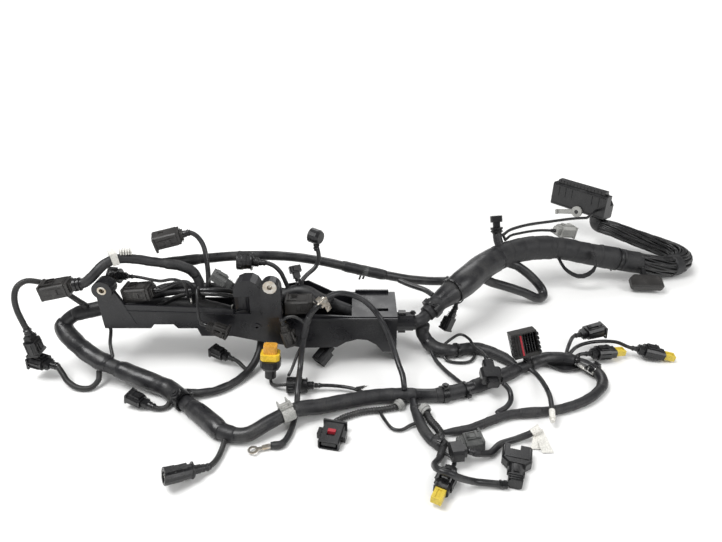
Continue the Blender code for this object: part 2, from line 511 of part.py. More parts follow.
def smooth_route(places, diameter):
    """Points at an even spacing along a smooth curve through a route's places."""
    stops = [at_bench(place) for place in places]
    gaps = [(after - before).length for before, after in zip(stops, stops[1:])]
    slopes = [(stops[1] - stops[0]) / gaps[0]]
    for index in range(1, len(stops) - 1):
        slopes.append((stops[index + 1] - stops[index - 1]) / (gaps[index - 1] + gaps[index]))
    slopes.append((stops[-1] - stops[-2]) / gaps[-1])
    fine = [stops[0]]
    for index, gap in enumerate(gaps):
        for step in range(1, FINE_STEPS + 1):
            fine.append(hermite(stops[index], slopes[index], stops[index + 1], slopes[index + 1], gap, step / FINE_STEPS))
    diameters, least, most = TUBE_SPACING
    points = evenly_spaced(fine, min(max(diameters * diameter, least), most))
    points.insert(-1, points[-1] - slopes[-1].normalized() * STRAIGHT_END)
    return points


def hermite(start, start_slope, end, end_slope, length, share):
    """A point of the smooth curve between two stops."""
    squared, cubed = share ** 2, share ** 3
    return (
        start * (2 * cubed - 3 * squared + 1) + start_slope * length * (cubed - 2 * squared + share)
        + end * (3 * squared - 2 * cubed) + end_slope * length * (cubed - squared)
    )


def evenly_spaced(fine, spacing):
    """The fine curve's points again, as many equal steps as the spacing gives."""
    lengths = [0.0]
    for before, after in zip(fine, fine[1:]):
        lengths.append(lengths[-1] + (after - before).length)
    steps = max(2, round(lengths[-1] / spacing))
    points, index = [], 0
    for step in range(steps + 1):
        wanted = lengths[-1] * step / steps
        while index < len(lengths) - 2 and lengths[index + 1] < wanted:
            index += 1
        share = (wanted - lengths[index]) / (lengths[index + 1] - lengths[index])
        points.append(fine[index].lerp(fine[index + 1], min(share, 1.0)))
    return points


def tube(name, points, diameter, end_diameter=None, resolution=2):
    """A cable as a curve with a round bevel and closed ends."""
    curve = bpy.data.curves.new(name, "CURVE")
    curve.dimensions = "3D"
    curve.bevel_depth = diameter / 2
    curve.bevel_resolution = resolution
    curve.use_fill_caps = True
    spline = curve.splines.new("POLY")
    spline.points.add(len(points) - 1)
    narrowing = (end_diameter or diameter) / diameter - 1.0
    for index, point in enumerate(points):
        spline.points[index].co = (*point, 1.0)
        spline.points[index].radius = 1.0 + narrowing * index / (len(points) - 1)
    spline.use_smooth = True
    return curve


def loom(name, places, diameter, material, end_diameter=None, leads=(), resolution=2):
    """A cable bundle with its leads, which are the same wires and so one piece with it."""
    centre = smooth_route(places, diameter)
    trunk = tube(name, centre, diameter, end_diameter, resolution)
    if not leads:
        return add_object(name, trunk, material), {}
    piece = add_object(name, mesh_of(trunk), material)
    lead_points = {}
    for lead_name in leads:
        lead_diameter, lead_places = LEADS[lead_name]
        points = smooth_route(lead_places, lead_diameter)
        lines = [centre] + list(lead_points.values())
        root = min((spot for line in lines for spot in line), key=lambda spot: (spot - points[0]).length)
        lead_points[lead_name] = points
        lead = add_object(f"{name}_{lead_name}", mesh_of(tube(lead_name, [root] + points, lead_diameter)))
        join(piece, lead)
    return piece, lead_points


def mesh_of(curve):
    """A curve's tube as a mesh."""
    carrier = bpy.data.objects.new("carrier", curve)
    bpy.context.collection.objects.link(carrier)
    bpy.context.view_layer.update()
    evaluated = carrier.evaluated_get(bpy.context.evaluated_depsgraph_get())
    mesh = bpy.data.meshes.new_from_object(evaluated)
    bpy.data.objects.remove(carrier, do_unlink=True)
    mesh.shade_smooth()
    mesh.set_sharp_from_angle(angle=math.radians(50))
    return mesh


def aim(piece, place, direction, roll=0.0):
    """Put the piece's origin at a place and its X axis along a direction, with Z as upright as can be."""
    ahead = Vector(direction).normalized()
    upright = Vector((0.0, 0.0, 1.0)) if abs(ahead.z) < 0.93 else Vector((0.0, 1.0, 0.0))
    across = upright.cross(ahead).normalized()
    above = ahead.cross(across)
    turn = Matrix((ahead, across, above)).transposed().to_4x4()
    piece.matrix_world = Matrix.Translation(place) @ turn @ Matrix.Rotation(math.radians(roll), 4, "X")


def seat_on_lead(piece, points, roll=0.0):
    """Put a plug's rear on the end of a lead."""
    ahead = (points[-1] - points[-2]).normalized()
    aim(piece, points[-1] + ahead * GAP, ahead, roll)


def plug_profile(length, width, height):
    """Rows of a housing with a boot at its rear and a terminal block in its mouth."""
    boot_width, boot_height = width * BOOT_SHARE, height * BOOT_SHARE
    mouth_width, mouth_height = width - 2 * PLUG_WALL, height - 2 * PLUG_WALL
    inner_width, inner_height = mouth_width - 2 * GROOVE, mouth_height - 2 * GROOVE
    end = BOOT_LENGTH + length
    return [
        (0.0, boot_width, boot_height), (BOOT_LENGTH, boot_width, boot_height), (BOOT_LENGTH, width, height),
        (end, width, height), (end, mouth_width, mouth_height), (end - MOUTH_DEPTH, mouth_width, mouth_height),
        (end - MOUTH_DEPTH, inner_width, inner_height), (end - BLOCK_RECESS, inner_width, inner_height),
    ]


def add_latch(piece, size):
    """The sprung tongue along the top of a housing."""
    length, width, height = size
    low = (BOOT_LENGTH + length * 0.15, -LATCH_WIDTH / 2, height / 2 - GAP)
    high = (BOOT_LENGTH + length * 0.85, LATCH_WIDTH / 2, height / 2 + LATCH_HEIGHT)
    join(piece, block(f"{piece.name}_latch", low, high))


def coil_plug(name, material):
    """An ignition coil's plug: a deep box with a latch slot in its top."""
    length, width, height = COIL_PLUG
    piece = stacked(name, plug_profile(*COIL_PLUG), material, chamfer=0.08)
    slot_middle = BOOT_LENGTH + length * 0.62
    low = (slot_middle - 0.0035, -0.0045, height / 2 - 0.0014)
    cut(piece, block(f"{name}_slot", low, (slot_middle + 0.0035, 0.0045, height / 2 + GAP)))
    collar = (BOOT_LENGTH - 0.004, -width * 0.46, -height * 0.46)
    join(piece, block(f"{name}_collar", collar, (BOOT_LENGTH + 0.002, width * 0.46, height * 0.46)))
    return piece


def latch_plug(name, size, material):
    """A small plug with a latch on top."""
    piece = stacked(name, plug_profile(*size), material)
    add_latch(piece, size)
    return piece


def round_plug(name, material, length=ROUND_PLUG_LENGTH, diameter=ROUND_PLUG_DIAMETER):
    """A round plug with a ribbed collar and a boot."""
    mouth = diameter - 2 * PLUG_WALL
    inner = mouth - 2 * GROOVE
    end = BOOT_LENGTH + length
    profile = [
        (0.0, diameter * 0.5), (BOOT_LENGTH, diameter * 0.5), (BOOT_LENGTH, diameter * 0.92),
        (BOOT_LENGTH + length * 0.4, diameter * 0.92), (BOOT_LENGTH + length * 0.4, diameter), (end, diameter),
        (end, mouth), (end - MOUTH_DEPTH, mouth), (end - MOUTH_DEPTH, inner), (end - BLOCK_RECESS, inner),
    ]
    piece = turned(name, profile, material, sides=14)
    key = (BOOT_LENGTH + length * 0.25, -0.003, diameter * 0.35)
    join(piece, block(f"{name}_key", key, (end - GAP, 0.003, diameter / 2 + 0.0018)))
    return piece


def cut_lock_pocket(piece, end):
    """The pocket in a plug's front that its sliding lock sits in."""
    depth = LOCK_SEAT + LOCK_TRAVEL + 2 * GAP
    half_width, half_height = LOCK_WIDTH / 2 + GAP, LOCK_HEIGHT / 2 + GAP
    low = (end - depth, -half_width, -half_height)
    cut(piece, block(f"{piece.name}_pocket", low, (end + 0.002, half_width, half_height)))


def sliding_lock(name, plug, end, material):
    """A lock that stands out of a plug's front and is pushed in to secure it."""
    half_width, half_height = LOCK_WIDTH / 2, LOCK_HEIGHT / 2
    piece = block(name, (0.0, -half_width, -half_height), (LOCK_LENGTH, half_width, half_height), material)
    groove = (LOCK_SEAT + 0.002, -LOCK_WIDTH * 0.2, half_height - 0.0012)
    cut(piece, block(f"{name}_groove", groove, (LOCK_LENGTH - 0.0015, LOCK_WIDTH * 0.2, half_height + GAP)))
    piece.parent = plug
    piece.location = (end - LOCK_SEAT, 0.0, 0.0)
    return piece


def locked_plug(name, size, material):
    """An injector's plug, solid at the front around the pocket for its lock."""
    length, width, height = size
    boot_width, boot_height = width * BOOT_SHARE, height * BOOT_SHARE
    end = BOOT_LENGTH + length
    rows = [
        (0.0, boot_width, boot_height), (BOOT_LENGTH, boot_width, boot_height), (BOOT_LENGTH, width, height),
        (end - length * 0.3, width, height), (end - length * 0.3, width * 0.86, height * 0.8), (end, width * 0.86, height * 0.8),
    ]
    piece = stacked(name, rows, material)
    add_latch(piece, (length * 0.8, width, height))
    cut_lock_pocket(piece, end)
    return piece, end


def channel(material):
    """The moulded trough with its cover, hood, leg, lugs and outlet neck."""
    back = CHANNEL_FRONT + CHANNEL_WIDTH
    piece = slab("cable_channel", CHANNEL_UNDERSIDE + CHANNEL_RIM, CHANNEL_FRONT, back, material)
    cut_trough(piece, back)
    add_cover(piece, back)
    add_hood(piece)
    add_neck(piece)
    add_left_lug(piece)
    add_middle_lug(piece)
    eye_x, eye_z = EYELET_PLACE
    face = CHANNEL_FRONT
    join(piece, rod("channel_eyelet", EYELET_DIAMETER, (eye_x, face - 0.0012, eye_z), (eye_x, face + 0.001, eye_z), 12))
    cut(piece, rod("channel_eyelet_hole", EYELET_HOLE, (eye_x, face - 0.01, eye_z), (eye_x, face + 0.002, eye_z), 8))
    notch_left, notch_right, sill = PLUG_NOTCH
    low = (notch_left, face - 0.005, sill)
    cut(piece, block("channel_notch", low, (notch_right, face + CHANNEL_WALL + GAP, sill + 0.03)))
    low = (CHANNEL_LEFT - 0.01, back - CHANNEL_WALL - GAP, BACK_LOW_RIM)
    cut(piece, block("channel_low_back", low, (BACK_LOW_END, back + 0.01, CHANNEL_RIM[-1][1] + 0.01)))
    piece.location = -BENCH_MIDDLE
    return piece


def cut_trough(piece, back):
    """Hollow the channel out above its floor, and its leg from below."""
    inside = [(x, z + CHANNEL_FLOOR) for x, z in CHANNEL_UNDERSIDE[:LEG_START]]
    inside[0] = (CHANNEL_LEFT - 0.02, inside[0][1])
    end = CHANNEL_RIGHT - CHANNEL_WALL
    inside += [(end, LEG_FLOOR), (end, 0.14), (CHANNEL_LEFT - 0.02, 0.14)]
    front = CHANNEL_FRONT + CHANNEL_WALL
    cut(piece, slab("channel_hollow", inside, front, back - CHANNEL_WALL))
    low = (LEG_HOLLOW_START, front, -0.01)
    high = (end, back - CHANNEL_WALL, LEG_FLOOR - CHANNEL_FLOOR)
    cut(piece, block("channel_leg_hollow", low, high))
    wedge = [(CHANNEL_FRONT - 0.01, -0.02), (CHANNEL_FRONT + 0.028, -0.02), (CHANNEL_FRONT - 0.002, 0.027), (CHANNEL_FRONT - 0.01, 0.027)]
    shape = slab("channel_leg_slope", wedge, 0.0, 0.12)
    shape.data.transform(Matrix(((0, 1, 0, -0.03), (1, 0, 0, 0), (0, 0, 1, 0), (0, 0, 0, 1))))
    shape.data.flip_normals()
    cut(piece, shape)


def add_cover(piece, back):
    """The lid over the right end, its rear ridge, the lip below it and a slot."""
    top = CHANNEL_RIM[0][1]
    front = CHANNEL_FRONT
    join(piece, block("channel_cover", (COVER_LEFT, front + 0.001, top - COVER_THICKNESS), (CHANNEL_RIGHT - 0.001, back - 0.001, top)))
    ridge = (COVER_LEFT + 0.004, back - CHANNEL_WALL - 0.001, top - 0.001)
    join(piece, block("channel_ridge", ridge, (CHANNEL_RIGHT - 0.009, back - 0.0005, top + COVER_RIDGE_HEIGHT)))
    lip = (PLUG_NOTCH[1] + 0.002, front - LIP_DEPTH, top - LIP_HEIGHT - 0.001)
    join(piece, block("channel_lip", lip, (CHANNEL_RIGHT, front + 0.001, top - 0.001)))
    left, right, near, far = COVER_SLOT
    cut(piece, block("channel_slot", (left, near, top - 0.01), (right, far, top + 0.01)))
    join(piece, slab("channel_back_raise", BACK_RAISE, back - CHANNEL_WALL, back - 0.0002))


def add_hood(piece):
    """The hood over the front wall, hollow at the back and with a round pocket in its face."""
    join(piece, slab("hood", HOOD_OUTLINE, CHANNEL_FRONT - 0.0005, HOOD_BACK))
    left, right, bottom, top = HOOD_HOLLOW
    cut(piece, block("hood_hollow", (left, CHANNEL_FRONT + CHANNEL_WALL, bottom), (right, HOOD_BACK + 0.01, top)))
    x, y, radius, low, high = HOOD_POCKET
    cut(piece, rod("hood_pocket", 2 * radius, (x, y, low), (x, y, high), 16))


def add_neck(piece):
    """The round outlet at the right end, with a rib above and below for its clips."""
    y, z = NECK_PLACE
    start, end = CHANNEL_RIGHT - 0.001, CHANNEL_RIGHT + NECK_LENGTH
    join(piece, rod("neck", NECK_OUTER, (start, y, z), (end, y, z), 16))
    rib = (CHANNEL_RIGHT + 0.004, y - 0.004, z - NECK_OUTER / 2 - 0.003)
    join(piece, block("neck_ribs", rib, (CHANNEL_RIGHT + 0.014, y + 0.004, z + NECK_OUTER / 2 + 0.003)))
    cut(piece, rod("neck_bore", NECK_BORE, (CHANNEL_RIGHT - 0.01, y, z), (end + 0.01, y, z), 16))


def add_left_lug(piece):
    """The boss at the left end on its gusset plate."""
    x, z = LEFT_LUG_PLACE
    front, back = LEFT_LUG_FRONT, LEFT_LUG_FRONT + LEFT_LUG_LENGTH
    join(piece, slab("left_gusset", LEFT_GUSSET, CHANNEL_FRONT - 0.0005, CHANNEL_FRONT + 0.0045))
    join(piece, rod("left_boss", LEFT_LUG_DIAMETER, (x, front, z), (x, back, z), 20))
    bore = LEFT_SLEEVE_DIAMETER + 2 * GAP
    cut(piece, rod("left_bore", bore, (x, front - 0.01, z), (x, back + 0.01, z), 16))


def add_middle_lug(piece):
    """The tall tab in the middle with a rounded top."""
    x, z = MIDDLE_LUG_PLACE
    front, back = MIDDLE_LUG_FRONT, MIDDLE_LUG_FRONT + MIDDLE_LUG_LENGTH
    half = MIDDLE_LUG_DIAMETER / 2
    join(piece, block("middle_tab", (x - half, front, MIDDLE_LUG_FOOT), (x + half, back - 0.0005, z)))
    join(piece, rod("middle_boss", MIDDLE_LUG_DIAMETER, (x, front, z), (x, back, z), 20))
    bore = MIDDLE_SLEEVE_DIAMETER + 2 * GAP
    hole = z + MIDDLE_HOLE_RISE
    cut(piece, rod("middle_bore", bore, (x, front - 0.01, hole), (x, back + 0.01, hole), 16))


def sleeve(name, place, front, length, diameter, flange, material):
    """A metal sleeve through a lug, with a flange against the lug's front if it has one."""
    profile = [(0.0, diameter), (length, diameter), (length, SLEEVE_HOLE), (0.0, SLEEVE_HOLE)]
    if flange:
        profile = [(-FLANGE_THICKNESS - GAP, flange), (-GAP, flange), (-GAP, diameter)] + profile[1:3]
        profile.append((-FLANGE_THICKNESS - GAP, SLEEVE_HOLE))
    shape = bmesh.new()
    loops = [[shape.verts.new(corner) for corner in round_ring(x, size, 16)] for x, size in profile]
    for before, after in zip(loops, loops[1:] + loops[:1]):
        bridge(shape, before, after)
    piece = add_object(name, mesh_from(name, shape), material)
    aim(piece, at_bench((place[0], front, place[1])), (0.0, 1.0, 0.0))
    return piece


def ring_terminal(points, material):
    """The flat eye crimped on the ground lead."""
    ahead = (points[0] - points[1]).normalized()
    piece = stacked("ring_terminal", [(0.0, 0.005, 0.004), (0.009, 0.005, 0.004), (0.0095, 0.0045, 0.0012), (0.020, 0.0045, 0.0012)], material)
    join(piece, rod("terminal_eye", 0.0115, (0.0195, 0.0, -0.0005), (0.0195, 0.0, 0.0005), 16))
    cut(piece, rod("terminal_hole", 0.0064, (0.0195, 0.0, -0.01), (0.0195, 0.0, 0.01), 12))
    aim(piece, points[0] + ahead * GAP, ahead)
    return piece


def edge_clip(material):
    """The white clip snapped over the coil lead."""
    length, width, height = EDGE_CLIP
    piece = block("edge_clip", (-length / 2, -width / 2, -height * 0.3), (length / 2, width / 2, height * 0.7), material)
    bore = LEADS["coil_1"][0] + 6 * GAP
    cut(piece, rod("edge_clip_bore", bore, (-length, 0.0, 0.0), (length, 0.0, 0.0)))
    cut(piece, block("edge_clip_opening", (-length, -bore * 0.42, -height), (length, bore * 0.42, 0.0)))
    points = smooth_route(LEADS["coil_1"][1], LEADS["coil_1"][0])
    nearest = min(range(1, len(points) - 1), key=lambda index: abs(points[index].x - at_bench(EDGE_CLIP_PLACE).x))
    aim(piece, points[nearest], points[nearest + 1] - points[nearest - 1])
    return piece


def cable_strap(material):
    """The flat strap that hangs in a loop under the main trunk."""
    points = smooth_route(STRAP_ROUTE, STRAP_WIDTH / 2)
    rings = []
    for index, point in enumerate(points):
        ahead = (points[min(index + 1, len(points) - 1)] - points[max(index - 1, 0)]).normalized()
        across = Vector((0.25, 1.0, 0.35)).normalized()
        across = (across - across.dot(ahead) * ahead).normalized()
        above = ahead.cross(across)
        half_width, half_height = across * STRAP_WIDTH / 2, above * STRAP_THICKNESS / 2
        rings.append([point + half_width + half_height, point - half_width + half_height,
                      point - half_width - half_height, point + half_width - half_height])
    return add_object("cable_strap", closed_rings("cable_strap", rings), material)


def throttle_plug(material, lock_material):
    """A flat plug with a rear flange, two ears and a lock in its top."""
    length, width, height = THROTTLE_PLUG
    rows = plug_profile(length - BOOT_LENGTH, width, height)
    rows[0] = (0.0, width, height)
    rows[1:3] = []
    piece = stacked("throttle_plug", rows, material, chamfer=0.12)
    flange_length, flange_width, flange_height = THROTTLE_FLANGE
    low = (0.0004, -flange_width / 2, -height / 2 + GAP)
    join(piece, block("throttle_flange", low, (flange_length, flange_width / 2, flange_height - height / 2)))
    ear_length, ear_width, ear_height = THROTTLE_EAR
    middle = length * 0.5
    low = (middle - ear_length / 2, -width / 2 - ear_width, -ear_height / 2)
    join(piece, block("throttle_ears", low, (middle + ear_length / 2, width / 2 + ear_width, ear_height / 2)))
    lock_length, lock_width, lock_height = THROTTLE_LOCK
    start = length * 0.45
    low = (start - GAP, -lock_width / 2 - GAP, height / 2 - lock_height + 0.0014)
    high = (start + lock_length + LOCK_TRAVEL + 2 * GAP, lock_width / 2 + GAP, height / 2 + 0.01)
    cut(piece, block("throttle_slot", low, high))
    lock_low = (0.0, -lock_width / 2, -lock_height)
    lock = block("throttle_lock", lock_low, (lock_length, lock_width / 2, 0.0), lock_material)
    lock.parent = piece
    lock.location = (start, 0.0, height / 2 + 0.0014 + GAP)
    aim(piece, at_bench((-0.0290, 0.4730, height / 2 + GAP)), (-0.22, -1.0, 0.0))
    return piece


def sensor_plug(material):
    """A wide headed plug with a notch in its head, lying flat."""
    neck_length, neck_width, neck_height = SENSOR_NECK
    head_length, head_width, head_height = SENSOR_HEAD
    end = neck_length + head_length
    rows = [
        (0.0, neck_width, neck_height), (neck_length, neck_width, neck_height),
        (neck_length, head_width * 0.62, head_height),
        (neck_length + 0.006, head_width, head_height), (end, head_width, head_height),
    ]
    piece = stacked("pressure_map_plug", rows, material, chamfer=0.15)
    notch_depth, notch_width = SENSOR_NOTCH
    low = (end - notch_depth, -notch_width * 0.3, -head_height)
    cut(piece, block("sensor_notch", low, (end + 0.01, notch_width * 0.7, head_height)))
    aim(piece, at_bench((0.1566, 0.3865, head_height / 2 + GAP)), (0.30, 1.0, 0.0))
    return piece


def header_plug(material, lock_material):
    """A large open plug that stands on the junction, with a red bar in its face."""
    length, width, depth = HEADER_PLUG
    piece = block("header_plug", (0.0, -width / 2, -depth / 2), (length, width / 2, depth / 2), material)
    wall = HEADER_WALL
    low = (wall + 0.003, -width / 2 + wall, depth / 2 - HEADER_DEPTH)
    cut(piece, block("header_mouth", low, (length - wall, width / 2 - wall - 0.013, depth / 2 + 0.01)))
    lock_length, lock_width, lock_depth = HEADER_LOCK
    start = (length - lock_length) / 2
    side = width / 2 - wall - 0.0115
    low = (start - GAP, side, depth / 2 - lock_depth - GAP)
    cut(piece, block("header_slot", low, (start + lock_length + GAP, side + lock_width + 2 * GAP, depth / 2 + 0.01)))
    lock = block("header_lock", (0.0, 0.0, -lock_depth), (lock_length, lock_width, 0.0012), lock_material)
    lock.parent = piece
    lock.location = (start, side + GAP, depth / 2)
    turn = Matrix.Rotation(math.radians(-HEADER_TILT), 4, "Y") @ Matrix.Rotation(math.radians(90), 4, "X")
    lean = Matrix.Rotation(math.radians(HEADER_LEAN), 4, "X")
    piece.matrix_world = Matrix.Translation(at_bench(HEADER_PLACE)) @ lean @ turn
    return piece


def pressure_plug(materials):
    """A plug that stands upright: neck, round body, amber nose and the yellow lock around it."""
    neck, body = PRESSURE_NECK_LENGTH, PRESSURE_BODY_LENGTH
    profile = [
        (0.0, PRESSURE_NECK_DIAMETER), (neck, PRESSURE_NECK_DIAMETER), (neck, PRESSURE_BODY_DIAMETER * 0.85),
        (neck + 0.004, PRESSURE_BODY_DIAMETER), (neck + body, PRESSURE_BODY_DIAMETER),
    ]
    piece = turned("pressure_plug", profile, materials["black"], sides=16)
    place, upwards = at_bench((-0.1165, 0.5545, 0.0103)), Vector((0.06, 0.12, 1.0)).normalized()
    aim(piece, place, upwards)
    nose_length, nose_width, nose_depth = PRESSURE_NOSE
    nose = stacked("pressure_nose", [(0.0, nose_width, nose_depth), (nose_length, nose_width, nose_depth)], materials["amber"])
    nose.parent = piece
    nose.location = (neck + body + GAP, 0.0, 0.0)
    wall = PRESSURE_LOCK_WALL
    outer_width, outer_depth = nose_width + 2 * (wall + GAP), nose_depth + 2 * (wall + GAP)
    lock = stacked("pressure_lock", [(0.0, outer_width, outer_depth), (PRESSURE_LOCK_LENGTH, outer_width, outer_depth)], materials["yellow"])
    hole_width, hole_depth = nose_width + 2 * GAP, nose_depth + 2 * GAP
    hole = stacked("pressure_lock_hole", [(-0.01, hole_width, hole_depth), (0.03, hole_width, hole_depth)], None)
    cut(lock, hole)
    lock.parent = piece
    lock.location = (neck + body + GAP, 0.0, 0.0)
    return piece


def crank_plug(points, material):
    """A long plug with a round head, on the floor at the front."""
    piece = round_plug("crank_plug", material, length=0.030, diameter=0.0165)
    seat_on_lead(piece, points)
    return piece


def branch_plug(material):
    """A block with a neck behind and a nose in front, lying against the front trunk."""
    piece = stacked("branch_plug", BRANCH_PLUG, material)
    aim(piece, at_bench(BRANCH_PLUG_PLACE), BRANCH_PLUG_DIRECTION)
    return piece


def junction_block(points, material):
    """The block that the cut lead leaves, beside the lower bundle."""
    piece = stacked("junction_block", [(0.0, 0.012, 0.012), (0.004, 0.012, 0.012), (0.004, 0.020, 0.0155), (0.0165, 0.020, 0.0155)], material)
    ahead = points[0] - points[1]
    ahead.z = 0.0
    aim(piece, points[0] + ahead.normalized() * JUNCTION_CLEARANCE, ahead)
    return piece


def control_plug(material, lever_material):
    """The long plug for the control unit, open at its rear, with its swinging lever."""
    length, depth, height = CONTROL_PLUG
    rows = [(-length / 2, depth, height), (length / 2, depth, height)]
    piece = stacked("control_plug", rows, material, chamfer=0.08)
    wall = CONTROL_MOUTH_WALL
    mouth_low = (-length / 2 + wall, depth / 2 - CONTROL_MOUTH_DEPTH, -height / 2 + 0.008)
    mouth_end = length / 2 - CONTROL_SLANT[0] - wall
    cut(piece, block("control_mouth", mouth_low, (mouth_end, depth / 2 + 0.01, height / 2 - wall)))
    ridge_length, ridge_width, ridge_height = CONTROL_RIDGE
    low = (-ridge_length / 2, -depth / 2 + 0.004, height / 2 - 0.002)
    join(piece, block("control_ridge", low, (ridge_length / 2, -depth / 2 + 0.004 + ridge_width, height / 2 + ridge_height)))
    slant_along, slant_down = CONTROL_SLANT
    end, top = length / 2, height / 2
    corner = [(end - slant_along, top + 0.001), (end + 0.001, top - slant_down), (end + 0.02, top - slant_down), (end + 0.02, top + 0.001)]
    cut(piece, slab("control_slant", corner, 0.002, depth / 2 + 0.01))
    along, up = LEVER_PLACE
    pin_start, pin_end = (along, -depth / 2 - LEVER_THICKNESS - 2 * GAP, up), (along, -depth / 2 + 0.002, up)
    join(piece, rod("control_pin", LEVER_PIN_DIAMETER, pin_start, pin_end, PIN_SIDES))
    place = Matrix.Translation(at_bench(CONTROL_PLUG_PLACE)) @ Matrix.Rotation(math.radians(CONTROL_PLUG_TURN), 4, "Z")
    piece.matrix_world = place
    add_lever(piece, lever_material)
    return piece


def add_lever(plug, material):
    """The grey lever on its pin, which swings up over the plug's face."""
    along, up = LEVER_PLACE
    arm_length, arm_height = LEVER_ARM
    front = -CONTROL_PLUG[1] / 2 - GAP
    hub = rod("control_lever", LEVER_BOSS_DIAMETER, (0.0, -LEVER_THICKNESS, 0.0), (0.0, 0.0, 0.0), 16)
    hub.data.materials.append(material)
    arm_low = (-arm_length, -LEVER_THICKNESS + GAP, -arm_height / 2)
    join(hub, block("lever_arm", arm_low, (-0.002, -GAP, arm_height / 2)))
    grip = (-arm_length, -LEVER_THICKNESS - 0.004, -arm_height / 2)
    join(hub, block("lever_grip", grip, (-arm_length + 0.004, -GAP * 2, arm_height / 2)))
    bore = LEVER_PIN_DIAMETER + 2 * PIN_CLEARANCE
    cut(hub, rod("lever_hole", bore, (0.0, -0.02, 0.0), (0.0, 0.02, 0.0), PIN_SIDES))
    hub.parent = plug
    hub.location = (along, front, up)
    hub.rotation_euler = (0.0, math.radians(LEVER_TILT), 0.0)


def build_looms(materials):
    """Every loom with its leads, and the lead ends that the plugs sit on."""
    ends = {}
    rows = [
        ("front_trunk", FRONT_TRUNK_ROUTE, FRONT_TRUNK_DIAMETER, FRONT_TRUNK_END_DIAMETER, "sleeving",
         ["link", "prop", "probe", "knock", "crank", "sensor_branch", "oil", "inline", "throttle", "throttle_loop"]),
        ("channel_loom", CHANNEL_LOOM_ROUTE, CHANNEL_LOOM_DIAMETER, None, "tape",
         ["coil_1", "coil_2", "coil_3", "round_1", "coolant", "grey", "round_2", "raised", "upright", "coil_4"]),
        ("main_trunk", MAIN_TRUNK_ROUTE, MAIN_TRUNK_DIAMETER, None, "tape",
         ["outlet", "rear_conduit", "rear_branch", "hanging", "riser", "riser_wire", "grey_pair", "folded"]),
        ("control_bundle", CONTROL_BUNDLE_ROUTE, CONTROL_BUNDLE_DIAMETER, CONTROL_BUNDLE_END_DIAMETER, "wires", ["flat", "control_drop"]),
        ("upper_bundle", UPPER_BUNDLE_ROUTE, UPPER_BUNDLE_DIAMETER, UPPER_BUNDLE_END_DIAMETER, "tape", ["cross", "arch", "low_loop"]),
        ("right_bundle", RIGHT_BUNDLE_ROUTE, RIGHT_BUNDLE_DIAMETER, RIGHT_BUNDLE_END_DIAMETER, "tape",
         ["branch", "cut", "header", "injector_1", "injector_2", "injector_3"]),
        ("lower_bundle", LOWER_BUNDLE_ROUTE, LOWER_BUNDLE_DIAMETER, None, "tape", ["corrugated", "injector_4", "grey_small", "lock_wire"]),
        ("ground_lead", GROUND_LEAD_ROUTE, GROUND_LEAD_DIAMETER, None, "sleeving", ["cam", "spare"]),
    ]
    for name, places, diameter, end_diameter, material, leads in rows:
        resolution = 3 if diameter > 0.03 else 2
        _, lead_ends = loom(name, places, diameter, materials[material], end_diameter, leads, resolution)
        ends.update(lead_ends)
    block_points = smooth_route(BLOCK_LEAD_ROUTE, BLOCK_LEAD_DIAMETER)
    add_object("block_lead", tube("block_lead", block_points, BLOCK_LEAD_DIAMETER), materials["sleeving"])
    ends["block"] = block_points
    pressure_points = smooth_route(PRESSURE_LEAD_ROUTE, PRESSURE_LEAD_DIAMETER)
    add_object("pressure_lead", tube("pressure_lead", pressure_points, PRESSURE_LEAD_DIAMETER), materials["sleeving"])
    ends["valve"] = smooth_route(VALVE_LEAD_ROUTE, VALVE_LEAD_DIAMETER)
    add_object("valve_lead", tube("valve_lead", ends["valve"], VALVE_LEAD_DIAMETER), materials["sleeving"])
    ends["ground"] = smooth_route(GROUND_LEAD_ROUTE, GROUND_LEAD_DIAMETER)
    return ends


